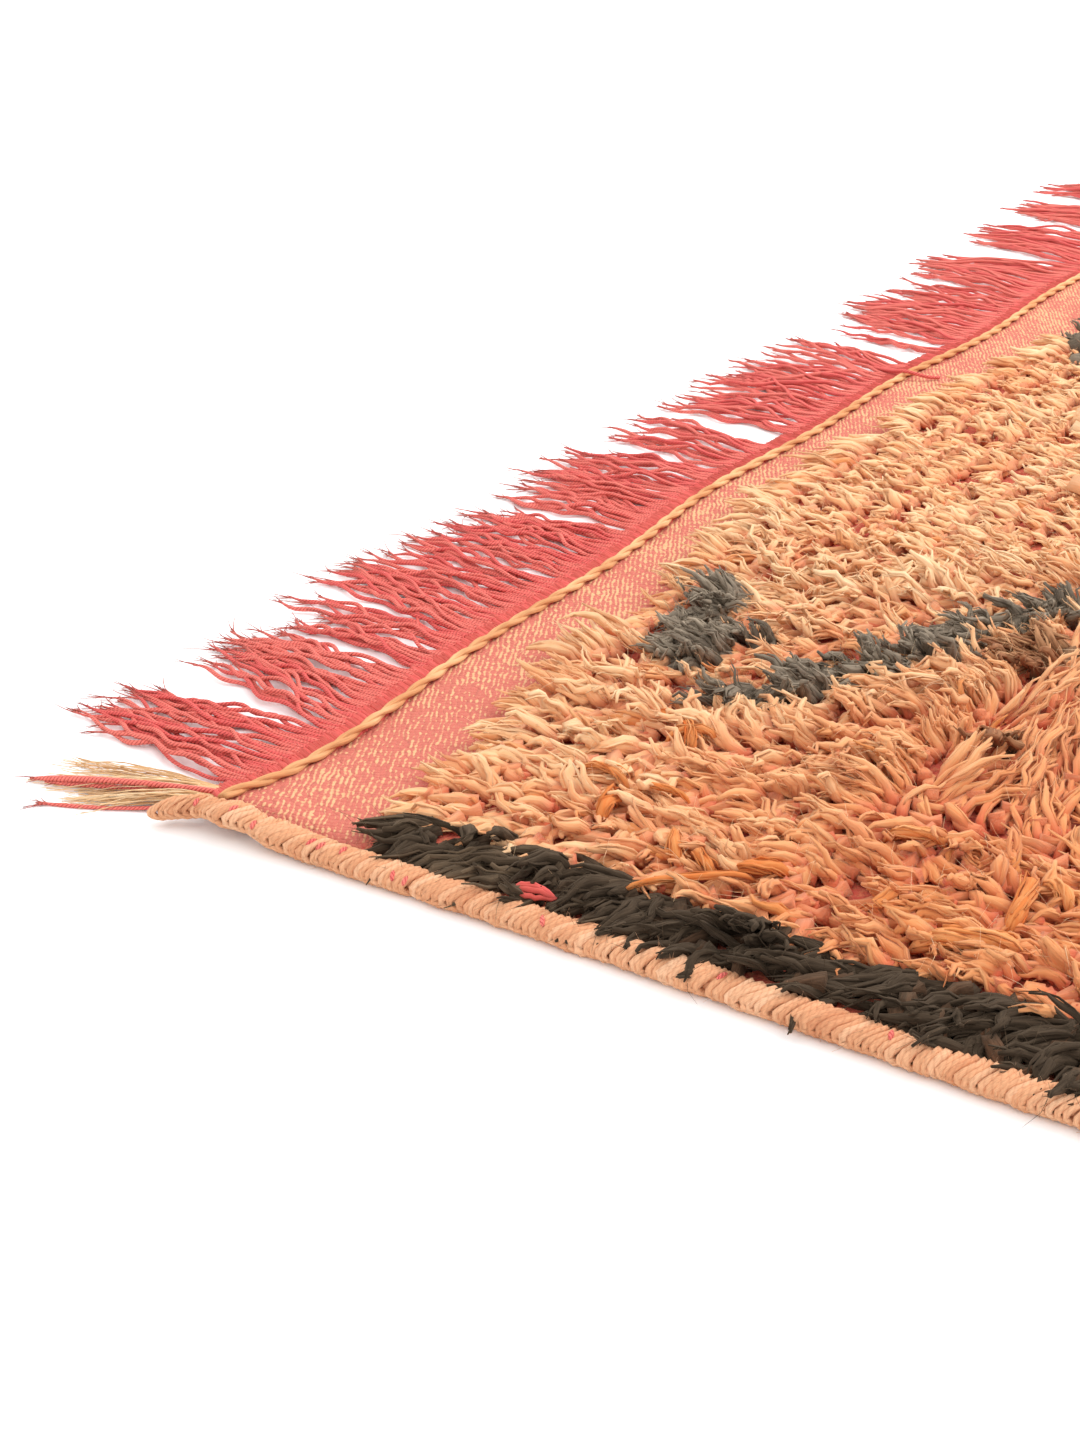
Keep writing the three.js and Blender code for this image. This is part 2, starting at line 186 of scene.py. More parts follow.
# Felted orange locks before the camera: where each begins, its heading, how far it turns, length and radius.
FELTED_TOP = 14
FELTED_STATIONS = 12
FELTED_FIELDS = ("across", "inset", "heading", "turn", "length", "thick")
FELTED = [
    dict(zip(FELTED_FIELDS, row))
    for row in (
        (36, 250, -62, 22, 34, 4.2),
        (58, 272, 8, 25, 34, 3.2),
        (88, 272, -120, -60, 14, 3.0),
        (132, 105, -118, -75, 34, 2.2),
        (80, 106, -92, -40, 22, 1.5),
        (54, 131, 10, -20, 17, 3.0),
        (58, 157, -150, 20, 20, 2.4),
        (49, 169, -130, 15, 16, 2.2),
        (45, 184, -60, 30, 19, 2.6),
        (17, 160, -50, 25, 44, 1.3),
        (92, 216, -68, 10, 20, 2.3),
        (77, 131, -85, -10, 21, 1.1),
        (118, 120, -60, -60, 20, 1.9),
    )
]

# A yarn that strays back over the cord and a knot of red yarn on the edge cord, as (across, inset, height).
STRAY_YARN = [(594, -22, 3), (592, -11, 3.6), (586, 1, 5.4), (582, 8, 8.2), (586, 21, 5.2), (592, 24, 4.4)]
STRAY_STATIONS = 14
RED_KNOT = [(-0.4, 129, 8.0), (0.9, 134, 10.4), (2.2, 139, 10.4), (3.4, 145, 7.4)]
RED_KNOT_STATIONS = 12

# The edge cord's wraps before the camera, up to where they are in its material, and red stitches over them.
WRAP_PITCH = 2.3
WRAP_STATIONS = 15
WRAPS_TO = 350
RIB_PITCH = 2.1
STITCHES_AT = np.array([11.0, 26, 36, 58, 62, 70, 92, 97, 148, 210, 265])
STITCH_RADII = [0.3, 0.75, 0.85, 0.75, 0.3]

# The loose threads at a corner, and its three red yarns.
THREAD_STATIONS = 12
CORNER_REDS = {
    "thick": [1.1, 0.9, 0.7],
    "root": [8.5, 6.5, 2.0],
    "tip": [-13.0, -10.0, -25.0],
    "reach": [64, 58, 50],
    "hump": [4.2, 1.6, 0.0],
}

# Twists: how far one ply runs until it crosses the next. The slant and size of the flat weave's stitches.
CORD_CROSSING = 15
YARN_CROSSING = 1.5
WRAP_CROSSING = 2.2
PLIES = 3
TWILL = np.radians(27)
STITCH = (2.2, 2.0, 1)

# The unwrapped map: each strand has a cell, with its two ends as small ovals below and above its side.
CELL_MARGIN = 0.08
CELL_FROM = 0.04
CELL_RUN = 0.92
CAP_AT = 0.015
CAP_WIDE = 0.4
CAP_TALL = 0.012

# Painted shade: low in the pile, between two heights, the colour is multiplied towards a warmer, darker tone,
# as shade falls in its hollows.
PAINTED_SHADE_HEIGHTS = (3, 17)

# The camera and the light.
CAMERA_AT = (-1107.6, 385.4, 362.3)
CAMERA_HEADING = (0.8478, 0.5303)
CAMERA_PITCH = np.radians(25.59)
CAMERA_LENS = 56.375
CAMERA_SENSOR = 36
FLOOR_REACH = 8.0
KEY_LIGHT = {"position": (0.98, -0.22, 1.65), "aim": (-0.35, 0.65, 0), "size": 1.1, "power": 28}
WORLD_STRENGTH = 1.36


def mix(a, b, t):
    return a + (b - a) * t


def smooth(t, low=0.0, high=1.0):
    t = np.clip((t - low) / (high - low), 0, 1)
    return t * t * (3 - 2 * t)


def peak(value, middle, size):
    return np.exp(-(((value - middle) / size) ** 2))


def shares(count):
    """Even shares of the way along a line, from 0 to 1."""
    return np.linspace(0, 1, count)[None, :]


def joined(*parts):
    """Points from their x, y and z."""
    return np.stack(np.broadcast_arrays(*parts), axis=-1)


def near_one(random, spread, low, high, shape):
    """Random factors about 1, between two limits."""
    return random.normal(1, spread, shape).clip(low, high)


def scattered(random, count):
    """Shares of a length, one in each of its equal parts."""
    return (np.arange(count) + random.uniform(0.1, 0.9, count)) / count


def wave(distance, height, wavelength, crest):
    return height * np.cos(2 * np.pi * (distance - crest) / wavelength)


def cord_inset(across):
    return CORD_INSET + wave(across, *CORD_WAVE) + wave(across, *CORD_RIPPLE)


def pile_inset(across):
    return cord_inset(across) + BAND + wave(across, *PILE_WAVE)


def left_x(y):
    return -WIDTH / 2 - SIDE_WAVE[0] + wave(LENGTH / 2 - y, *SIDE_WAVE)


def right_x(y):
    return -left_x(-y)


def weave_end_y(x):
    return LENGTH / 2 - cord_inset(x + WIDTH / 2) + WEAVE_SHOWING


def strip_root_y(x):
    return weave_end_y(x) + GAP + STRIP_DEPTH


def end_x(share):
    """x at a share of the way along the front end."""
    y = LENGTH / 2 - CORD_INSET
    return mix(left_x(y), right_x(y), share)


def drift(x, y, wavelength, seed, waves=7):
    """A smooth random field, from about -1 to 1."""
    random = np.random.default_rng(seed)
    total = 0
    for _ in range(waves):
        angle = random.uniform(0, 2 * np.pi)
        length = wavelength * random.uniform(0.6, 1.7)
        phase = random.uniform(0, 2 * np.pi)
        total = total + np.sin((x * np.cos(angle) + y * np.sin(angle)) * 2 * np.pi / length + phase)
    return total / np.sqrt(waves) / 1.3


def lift(points):
    """The front left corner stands a little off the floor."""
    across = np.maximum(points[..., 0] + WIDTH / 2, 0)
    inset = LENGTH / 2 - points[..., 1]
    raised = points.copy()
    raised[..., 2] += LIFT_HIGH * peak(inset, LIFT_INSET, LIFT_LONG) * peak(across, 0, LIFT_WIDE)
    return raised


def srgb(red, green, blue):
    """A colour as the eye reads it, from 0 to 255, as light."""
    value = np.array([red, green, blue]) / 255
    linear = np.where(value <= 0.04045, value / 12.92, ((value + 0.055) / 1.055) ** 2.4)
    return (*linear, 1.0)


def unit(vectors):
    return vectors / (np.linalg.norm(vectors, axis=-1, keepdims=True) + 1e-9)


def frames(lines):
    """Two directions square to each line at each station, which turn as little as they can along it."""
    skew = [0.31, 0.83, 0.46]
    way = unit(np.gradient(lines, axis=1))
    side = np.empty_like(lines)
    side[:, 0] = unit(np.cross(way[:, 0], skew))
    for i in range(1, lines.shape[1]):
        lean = np.sum(side[:, i - 1] * way[:, i], axis=1, keepdims=True)
        side[:, i] = unit(side[:, i - 1] - way[:, i] * lean)
    return side, np.cross(way, side)


def run_along(lines):
    """The length from each line's start to each station."""
    steps = np.linalg.norm(np.diff(lines, axis=1), axis=2)
    return np.concatenate([np.zeros((len(lines), 1)), np.cumsum(steps, axis=1)], axis=1)


def column(value):
    return value[:, None] if np.ndim(value) == 1 else value


class Tubes:
    """Closed tubes that are joined into one mesh."""

    def __init__(self):
        self.points = []
        self.faces = {}
        self.maps = {}
        self.values = {"fibre": [], "spin": [], "along": [], "tone": [], "tint": []}
        self.count = 0
        self.strands = 0

    def add(self, lines, radius, sides, seed, tone=0.5, tint=0.0, along=None, lump=0.0):
        """lines is (strand, station, xyz) and radius is (strand, station). lump makes the radius uneven."""
        strands, stations, _ = lines.shape
        random = np.random.default_rng(seed)
        side, up = frames(lines)
        angle = 2 * np.pi * np.arange(sides) / sides
        uneven = 1 + lump * random.uniform(-1, 1, (strands, stations, sides))
        reach = np.broadcast_to(radius, (strands, stations))[:, :, None] * uneven
        sideways = reach * np.cos(angle)
        upwards = reach * np.sin(angle)
        ring = lines[:, :, None] + sideways[..., None] * side[:, :, None]
        ring = ring + upwards[..., None] * up[:, :, None]
        run = run_along(lines)[:, :, None]
        shift = random.uniform(0, 900, (2, strands, 1, 1))
        self.points.append(ring.reshape(-1, 3))
        self.values["fibre"].append(joined(sideways + shift[0], upwards + shift[1], run).reshape(-1, 3))
        self.values["spin"].append(joined(np.cos(angle), np.sin(angle), run + shift[0]).reshape(-1, 3))
        share = shares(stations) if along is None else along
        for key, value in (("along", share), ("tone", tone), ("tint", tint)):
            value = np.broadcast_to(column(value), (strands, stations))
            self.values[key].append(np.repeat(value[:, :, None], sides, axis=2).ravel())
        self.add_faces(strands, stations, sides)
        self.add_map(strands, stations, angle)
        self.count += strands * stations * sides
        self.strands += strands

    def add_faces(self, strands, stations, sides):
        number = self.count + np.arange(strands * stations * sides).reshape(strands, stations, sides)
        after = np.roll(number, -1, axis=2)
        quads = np.stack([number[:, :-1], after[:, :-1], after[:, 1:], number[:, 1:]], axis=-1)
        for size, faces in ((4, quads.reshape(-1, 4)), (sides, number[:, 0, ::-1]), (sides, number[:, -1])):
            self.faces.setdefault(size, []).append(faces)

    def add_map(self, strands, stations, angle):
        """Where each corner of a face is on the unwrapped map: its strand, then across and along its cell."""
        sides = len(angle)
        strand = (self.strands + np.arange(strands))[:, None, None]
        u0 = np.arange(sides) / sides
        u1 = u0 + 1 / sides
        v0 = (CELL_FROM + CELL_RUN * np.arange(stations - 1) / (stations - 1))[None, :, None]
        v1 = v0 + CELL_RUN / (stations - 1)
        corners = [joined(strand, u, v) for u, v in ((u0, v0), (u1, v0), (u1, v1), (u0, v1))]
        self.maps.setdefault(4, []).append(np.stack(corners, axis=3).reshape(-1, 4, 3))
        for middle, order in ((CAP_AT, slice(None, None, -1)), (1 - CAP_AT, slice(None))):
            u = 0.5 + CAP_WIDE * np.cos(angle[order])
            v = middle + CAP_TALL * np.sin(angle[order])
            self.maps.setdefault(sides, []).append(joined(strand[:, 0], u, v))

    def finish(self, name, material, slot, node):
        """Writes the tubes as a piece and puts it on the rug."""
        faces = [np.concatenate(self.faces[size]) for size in sorted(self.faces)]
        maps = [np.concatenate(self.maps[size]).reshape(-1, 3) for size in sorted(self.maps)]
        strand, across, along = np.concatenate(maps).T
        columns = int(np.ceil(np.sqrt(self.strands * 4)))
        rows = int(np.ceil(self.strands / columns))
        u = (strand % columns + CELL_MARGIN + (1 - 2 * CELL_MARGIN) * across) / columns
        v = (strand // columns + 0.01 + 0.98 * along) / rows
        values = {key: np.concatenate(value) for key, value in self.values.items()}
        points = np.concatenate(self.points)
        place(write_mesh(name, points, faces, values, np.stack([u, v], axis=1), material), slot, node)


def new_object(name, data):
    made = bpy.data.objects.new(name, data)
    bpy.context.scene.collection.objects.link(made)
    return made


def write_mesh(name, points, faces, values, bake_map, material):
    """faces is a list of arrays, each with one row of corners for each face."""
    corners = np.concatenate([face.ravel() for face in faces])
    sizes = np.concatenate([np.full(len(face), face.shape[1]) for face in faces])
    starts = np.concatenate([[0], np.cumsum(sizes)[:-1]])
    points = lift(points)
    points[:, 2] = np.maximum(points[:, 2], LOWEST)
    mesh = bpy.data.meshes.new(name)
    mesh.vertices.add(len(points))
    mesh.vertices.foreach_set("co", (points * MM).astype(np.float32).ravel())
    mesh.loops.add(len(corners))
    mesh.loops.foreach_set("vertex_index", corners.astype(np.int32))
    mesh.polygons.add(len(sizes))
    mesh.polygons.foreach_set("loop_start", starts.astype(np.int32))
    mesh.update(calc_edges=True)
    for key, value in values.items():
        kind, field = ("FLOAT_VECTOR", "vector") if value.ndim == 2 else ("FLOAT", "value")
        held = mesh.attributes.new(key, kind, "POINT")
        held.data.foreach_set(field, value.astype(np.float32).ravel())
    if bake_map is not None:
        layer = mesh.uv_layers.new(name="OFBake")
        layer.data.foreach_set("uv", bake_map.astype(np.float32).ravel())
    mesh.shade_smooth()
    mesh.materials.append(material)
    return new_object(name, mesh)


def place(piece, slot, *nodes):
    """Puts a finished piece on the rug: its body and the solids that it stands for. slot is not used."""
    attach(piece, "root")
    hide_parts(*nodes)


# Materials.


def set_inputs(tree, node, inputs):
    for key, value in inputs.items():
        if isinstance(value, bpy.types.NodeSocket):
            tree.links.new(value, node.inputs[key])
        else:
            node.inputs[key].default_value = value


def put(tree, kind, inputs=None, **settings):
    made = tree.nodes.new(kind)
    for key, value in settings.items():
        setattr(made, key, value)
    set_inputs(tree, made, inputs or {})
    return made


def attribute(tree, name, output="Fac"):
    return put(tree, "ShaderNodeAttribute", attribute_name=name).outputs[output]


def split(tree, vector):
    return put(tree, "ShaderNodeSeparateXYZ", {0: vector}).outputs


def maths(tree, operation, *values):
    return put(tree, "ShaderNodeMath", dict(enumerate(values)), operation=operation).outputs[0]


def vector_maths(tree, operation, first, second):
    return put(tree, "ShaderNodeVectorMath", {0: first, 1: second}, operation=operation).outputs[0]


def blend(tree, share, first, second, how="MIX"):
    inputs = {0: share, 6: first, 7: second}
    return put(tree, "ShaderNodeMix", inputs, data_type="RGBA", blend_type=how).outputs[2]


def rerange(tree, value, low, high, to_low=0.0, to_high=1.0):
    inputs = {"Value": value, "From Min": low, "From Max": high, "To Min": to_low, "To Max": to_high}
    return put(tree, "ShaderNodeMapRange", inputs, clamp=True, interpolation_type="SMOOTHSTEP").outputs[0]


def ramp(tree, factor, colours):
    made = put(tree, "ShaderNodeValToRGB", {"Fac": factor})
    stops = made.color_ramp.elements
    while len(stops) < len(colours):
        stops.new(0.5)
    for i, (stop, colour) in enumerate(zip(stops, colours)):
        stop.position = i / (len(colours) - 1)
        stop.color = colour
    return made.outputs["Color"]


def noise(tree, vector, scale, detail=2.0, output="Fac"):
    inputs = {"Vector": vector, "Scale": scale, "Detail": detail}
    return put(tree, "ShaderNodeTexNoise", inputs).outputs[output]


def shaded(tree, colour, shade):
    """A colour made darker or lighter by a number."""
    grey = put(tree, "ShaderNodeCombineColor", {0: shade, 1: shade, 2: shade}).outputs[0]
    return blend(tree, 1.0, colour, grey, "MULTIPLY")


def varied(tree, vector, tones, size, amount):
    """The dyed tone of each strand, with patches along it."""
    patches = maths(tree, "SUBTRACT", noise(tree, vector, size, 1.0), 0.5)
    tone = maths(tree, "MULTIPLY_ADD", patches, amount, attribute(tree, "tone"))
    return ramp(tree, tone, tones)


PALE_PEACH = srgb(242, 214, 176)
PEACH = srgb(237, 199, 156)
ORANGE_PEACH = srgb(230, 175, 130)
ROSE_PEACH = srgb(216, 149, 115)
FELT = srgb(212, 140, 84)
FELT_PALE = srgb(226, 164, 112)
DEEP_ORANGE = srgb(202, 112, 56)
ROSE_ROOT = srgb(202, 96, 78)
CORAL = srgb(240, 108, 104)
CORAL_LIGHT = srgb(248, 132, 120)
CORAL_FELT = srgb(204, 88, 80)
# Deep coral below is also the painted shade in the grooves between the red yarn's plies.
CORAL_DEEP = srgb(196, 58, 62)
DARK = srgb(70, 57, 45)
DARK_OLIVE = srgb(108, 89, 70)
SOOT = srgb(86, 76, 64)
SOOT_GREY = srgb(128, 115, 100)
SOOT_PALE = srgb(176, 160, 140)
BROWN = srgb(150, 98, 68)
BROWN_PALE = srgb(196, 146, 106)
OCHRE = srgb(214, 154, 106)
OCHRE_PALE = srgb(234, 184, 134)
PICK_CORAL = srgb(206, 114, 100)
PICK_PEACH = srgb(228, 179, 134)
# Painted shade in the grooves between the wrap yarn's plies.
WRAP_GROOVE_SHADE = srgb(182, 110, 80)
WRAPS = [srgb(206, 142, 104), srgb(221, 162, 122), srgb(232, 183, 146)]
RIBS = [srgb(230, 156, 108), srgb(244, 182, 132), srgb(252, 206, 158)]
THREADS = [srgb(216, 162, 114), srgb(242, 200, 150), srgb(252, 224, 186)]

# What fibre streaks and the painted shade in the pile's hollows are multiplied by, and the colour of the
# sheen.
STREAK_AND_PAINTED_SHADE = (1.0, 0.66, 0.42, 1.0)
SHADE = (0.35, 0.35, 0.35, 1.0)
SHEEN = (1.0, 0.75, 0.52, 1.0)


def new_material(name):
    material = bpy.data.materials.new(name)
    material.use_nodes = True
    return material, material.node_tree


def finished(tree, colour, height, depth, sheen=0.1):
    """The shader at the end of a wool material."""
    bump = put(tree, "ShaderNodeBump", {"Height": height, "Distance": depth * MM, "Strength": 1.0})
    inputs = {
        "Base Color": colour,
        "Normal": bump.outputs[0],
        "Roughness": 0.9,
        "Specular IOR Level": 0.06,
        "Sheen Weight": sheen,
        "Sheen Roughness": 0.5,
        "Sheen Tint": SHEEN,
    }
    set_inputs(tree, tree.nodes["Principled BSDF"], inputs)


def wool(name, tones, root, accent, contrast=0.3, depth=0.35, root_to=0.5, painted_hollow_shade=0.0, streak=SHADE, sheen=0.1):
    """Loosely spun wool: fibres along the lock, a dyed tone for each lock, a root of another colour, and
    painted shade in the pile's hollows.
    """
    material, tree = new_material(name)
    fibre = attribute(tree, "fibre", "Vector")
    hairs = noise(tree, vector_maths(tree, "MULTIPLY", fibre, (1.3, 1.3, 0.13)), 1.0, 3.0)
    colour = varied(tree, vector_maths(tree, "MULTIPLY", fibre, (0.05, 0.05, 0.12)), tones, 1.0, 0.5)
    colour = blend(tree, attribute(tree, "tint"), colour, accent)
    rooted = rerange(tree, attribute(tree, "along"), 0.0, root_to, 0.8, 0.0)
    colour = blend(tree, rooted, colour, root)
    # Painted shade: the lower a point lies in the pile, the more its colour is multiplied towards a warm,
    # darker tone.
    height = split(tree, put(tree, "ShaderNodeNewGeometry").outputs["Position"])[2]
    painted_shade = rerange(tree, height, PAINTED_SHADE_HEIGHTS[0] * MM, PAINTED_SHADE_HEIGHTS[1] * MM, painted_hollow_shade, 0.0)
    colour = blend(tree, painted_shade, colour, STREAK_AND_PAINTED_SHADE, "MULTIPLY")
    colour = blend(tree, rerange(tree, hairs, 0.32, 0.68, contrast, 0.0), colour, streak, "MULTIPLY")
    finished(tree, colour, hairs, depth, sheen)
    return material


def yarn(name, tones, groove_shade, crossing=YARN_CROSSING, depth=0.45, dark=0.6):
    """Plied yarn: plies wound round each other, with painted shade in the groove between them."""
    material, tree = new_material(name)
    fibre = attribute(tree, "fibre", "Vector")
    hairs = noise(tree, vector_maths(tree, "MULTIPLY", fibre, (4.5, 4.5, 0.6)), 1.0, 3.0)
    colour = varied(tree, fibre, tones, 0.05, 0.6)
    spin = split(tree, attribute(tree, "spin", "Vector"))
    angle = maths(tree, "MULTIPLY", maths(tree, "ARCTAN2", spin[1], spin[0]), PLIES / 2)
    turned = maths(tree, "MULTIPLY_ADD", spin[2], np.pi / crossing, angle)
    ply = maths(tree, "ABSOLUTE", maths(tree, "COSINE", turned))
    # Painted shade: the colour darkens towards the groove colour between the plies.
    colour = blend(tree, rerange(tree, ply, 0.0, 0.75, dark, 0.0), colour, groove_shade)
    colour = shaded(tree, colour, rerange(tree, hairs, 0.3, 0.7, 0.84, 1.08))
    finished(tree, colour, maths(tree, "MULTIPLY_ADD", hairs, 0.5, ply), depth)
    return material


def ribbed(name, tones):
    """Wraps of yarn round an edge cord, as ribs side by side, with painted light on their crests and painted
    shade between them.
    """
    material, tree = new_material(name)
    fibre = attribute(tree, "fibre", "Vector")
    wobble = maths(tree, "MULTIPLY", noise(tree, fibre, 0.25), 1.4)
    turn = maths(tree, "MULTIPLY_ADD", split(tree, fibre)[2], 2 * np.pi / RIB_PITCH, wobble)
    rib = maths(tree, "SINE", turn)
    # Painted light and shade: each rib is lighter on its crest and darker between, on top of a random tone.
    tone = maths(tree, "MULTIPLY_ADD", rib, 0.22, noise(tree, fibre, 0.12))
    finished(tree, ramp(tree, tone, tones), rib, 0.35)
    return material


def weave_stitches(tree, flat):
    """How peach the pick is at each point, and the square of how far it is from the middle of its stitch."""
    turned = put(tree, "ShaderNodeMapping", {"Vector": flat, "Rotation": (0, 0, -TWILL)}).outputs[0]
    wander = vector_maths(tree, "MULTIPLY", noise(tree, flat, 0.12, output="Color"), (3.0, 3.0, 0))
    place_in = vector_maths(tree, "ADD", turned, wander)
    inputs = {"Vector": vector_maths(tree, "DIVIDE", place_in, STITCH), "Scale": 1.0, "Randomness": 0.7}
    cell = put(tree, "ShaderNodeTexVoronoi", inputs, voronoi_dimensions="2D").outputs
    row = maths(tree, "COSINE", maths(tree, "MULTIPLY", split(tree, place_in)[1], 2 * np.pi / STITCH[1]))
    x = split(tree, flat)[0]
    lean = rerange(tree, x, 60 - WIDTH / 2, 260 - WIDTH / 2, -0.42, -0.24)
    patches = rerange(tree, noise(tree, flat, 0.035), 0.38, 0.62, -0.15, 0.15)
    pick = put(tree, "ShaderNodeSeparateColor", {0: cell["Color"]}).outputs[0]
    pick = maths(tree, "ADD", pick, maths(tree, "ADD", lean, patches))
    pick = maths(tree, "MULTIPLY_ADD", row, 0.5, pick)
    away = maths(tree, "MULTIPLY", cell["Distance"], cell["Distance"])
    return rerange(tree, maths(tree, "MULTIPLY_ADD", away, -0.8, pick), 0.0, 0.75), away


def weave_material():
    """Flat weave of coral and peach picks, and what shows of the ground under the pile, whose colour near the
    camera is made darker in part as painted shade.
    """
    material, tree = new_material("flat weave")
    flat = attribute(tree, "flat", "Vector")
    pick, away = weave_stitches(tree, flat)
    rough = noise(tree, flat, 0.4, 4.0)
    # Under the near pile the ground is rose and deep coral: partly the colour of the knots' roots, partly
    # painted shade beneath the pile.
    under = ramp(tree, rough, [CORAL_DEEP, ROSE_ROOT, FELT_PALE])
    under = blend(tree, attribute(tree, "beyond"), under, ramp(tree, rough, [ROSE_ROOT, FELT, ORANGE_PEACH]))
    under = blend(tree, attribute(tree, "bordered"), under, DARK)
    colour = blend(tree, attribute(tree, "under"), blend(tree, pick, PICK_CORAL, PICK_PEACH), under)
    fine = noise(tree, flat, 2.6, 3.0)
    colour = shaded(tree, colour, rerange(tree, fine, 0.3, 0.7, 0.86, 1.06))
    finished(tree, colour, maths(tree, "SUBTRACT", maths(tree, "MULTIPLY", fine, 0.3), away), 0.9)
    return material


# The peach wool gets painted shade low in the pile's hollows.
peach_wool = wool(
    "peach wool",
    [ROSE_PEACH, ORANGE_PEACH, PEACH, PALE_PEACH],
    ROSE_ROOT,
    FELT,
    contrast=0.35,
    depth=0.4,
    painted_hollow_shade=0.42,
    streak=STREAK_AND_PAINTED_SHADE,
    sheen=0.3,
)
felted_wool = wool(
    "felted wool", [DEEP_ORANGE, FELT, FELT_PALE], FELT, CORAL, contrast=0.6, depth=0.4, streak=STREAK_AND_PAINTED_SHADE
)
dark_wool = wool("dark wool", [DARK, DARK, DARK_OLIVE], DARK, BROWN, contrast=0.6, depth=0.5)
zigzag_wool = wool("zigzag wool", [SOOT, SOOT_GREY, SOOT_PALE], SOOT, BROWN, contrast=0.5, depth=0.5)
brown_wool = wool(
    "brown wool", [BROWN, BROWN, BROWN_PALE, BROWN_PALE], DARK_OLIVE, BROWN, contrast=0.4, depth=0.3
)
red_yarn = yarn("red yarn", [CORAL, CORAL, CORAL_LIGHT, CORAL_LIGHT], CORAL_DEEP)
red_felt = wool("red felt", [CORAL_FELT, CORAL_FELT, CORAL], CORAL_FELT, CORAL, depth=0.4)
ochre_yarn = wool("ochre yarn", [OCHRE, OCHRE, OCHRE_PALE, OCHRE_PALE], OCHRE, OCHRE, root_to=0.06)
wrap_yarn = yarn("wrap yarn", WRAPS, WRAP_GROOVE_SHADE, WRAP_CROSSING, 0.15, 0.25)
wrapped_edge = ribbed("wrapped edge", RIBS)
beige_thread = wool("beige thread", THREADS, OCHRE, OCHRE, root_to=0.06)


# The woven ground.


def spaced(*parts):
    """Shares of a length, in parts of even spacing, each with its start, end and count."""
    return np.unique(np.concatenate([np.linspace(*part) for part in parts]))


def slab(x, y, top):
    """The points and faces of a thin flat body, from a grid of x and y and the height of its top."""
    rows, columns = x.shape
    number = np.arange(rows * columns).reshape(rows, columns)
    corners = [number[:-1, :-1], number[:-1, 1:], number[1:, 1:], number[1:, :-1]]
    quads = np.stack(corners, axis=-1).reshape(-1, 4)
    rim = np.concatenate([number[:, 0], number[-1, 1:], number[-2::-1, -1], number[0, -2:0:-1]])
    after = np.roll(rim, -1)
    lower = rows * columns
    walls = np.stack([rim, after, after + lower, rim + lower], axis=-1)
    points = np.concatenate([joined(x, y, top).reshape(-1, 3), joined(x, y, 0).reshape(-1, 3)])
    return points, np.concatenate([quads, quads[:, ::-1] + lower, walls])


def ground_sheet():
    """The woven ground: a thin slab whose top waves a little."""
    shares_x = spaced((0, 0.35, 36), (0.35, 1, 32))
    shares_y = spaced((0, 0.05, 14), (0.05, 0.95, 28), (0.95, 1, 8))
    share_x, share_y = np.meshgrid(shares_x, shares_y, indexing="ij")
    rough_x = mix(-WIDTH / 2, WIDTH / 2, share_x)
    y = mix(weave_end_y(rough_x), -weave_end_y(-rough_x), share_y)
    x = mix(left_x(y), right_x(y), share_x)
    ripple = 0.5 * drift(x, y, 60, 5)
    top = WEAVE_THICK + ripple * smooth(np.minimum(share_x, 1 - share_x), 0, 0.01)
    points, faces = slab(x, y, top)
    across = points[:, 0] + WIDTH / 2
    inset = LENGTH / 2 - points[:, 1]
    border_x = WIDTH / 2 - BORDER_IN
    in_pile = np.minimum(inset - pile_inset(across), LENGTH - inset - pile_inset(WIDTH - across))
    beyond = np.maximum(smooth(inset - NEAR_INSET + NEAR_SLOPE * across, -20, 40), across > NEAR_ACROSS)
    beside = smooth(np.abs(points[:, 0]), border_x - 6, border_x + 6)
    values = {
        "flat": points * [1, 1, 0],
        # Where the ground lies under the pile, whose colour the material darkens in part as painted shade.
        "under": smooth(in_pile, 4, 14),
        "beyond": beyond,
        "bordered": beyond * beside * smooth(in_pile, 10, 20),
    }
    made = write_mesh("woven_ground", points, [faces], values, None, weave_material())
    place(made, "flat_weave", "ground_weave")
    return made


# Pile.


def knots(row_pitch, pitch, seed):
    """Every knot of the pile: across, inset and row number. The rows follow the waves of both ends."""
    random = np.random.default_rng(seed)
    rows = int((LENGTH - 2 * PILE_FROM_END) / row_pitch)
    columns = int((WIDTH - KNOTS_FROM_LEFT - KNOTS_FROM_RIGHT) / pitch)
    row, number = np.meshgrid(np.arange(rows + 1), np.arange(columns), indexing="ij")
    across = KNOTS_FROM_LEFT + (number + 0.5) * pitch + random.normal(0, 0.16 * pitch, number.shape)
    first = pile_inset(across) + FIRST_ROW
    last = LENGTH - pile_inset(WIDTH - across) - FIRST_ROW
    inset = mix(first, last, row / rows) + random.normal(0, 1.3, row.shape)
    return across.ravel(), inset.ravel(), row.ravel()


def is_near(across, inset):
    return (inset < NEAR_INSET - NEAR_SLOPE * across) & (across < NEAR_ACROSS)


def in_border(across):
    return (across < BORDER_IN - 2) | (across > WIDTH - BORDER_IN + 2)


def near_line(across, inset, line):
    """The distance from each knot to a line of (across, inset) points."""
    nearest = np.full(across.shape, np.inf)
    for (from_across, from_inset), (to_across, to_inset) in zip(line[:-1], line[1:]):
        run_across = to_across - from_across
        run_inset = to_inset - from_inset
        share = (across - from_across) * run_across + (inset - from_inset) * run_inset
        share = np.clip(share / (run_across**2 + run_inset**2), 0, 1)
        away = np.hypot(across - from_across - share * run_across, inset - from_inset - share * run_inset)
        nearest = np.minimum(nearest, away)
    return nearest


def from_zigzag(across, inset):
    """How far each knot is outside the zigzag before the camera."""
    return np.min([near_line(across, inset, line) for line in ZIGZAG_LINES], axis=0) - ZIGZAG_HALF


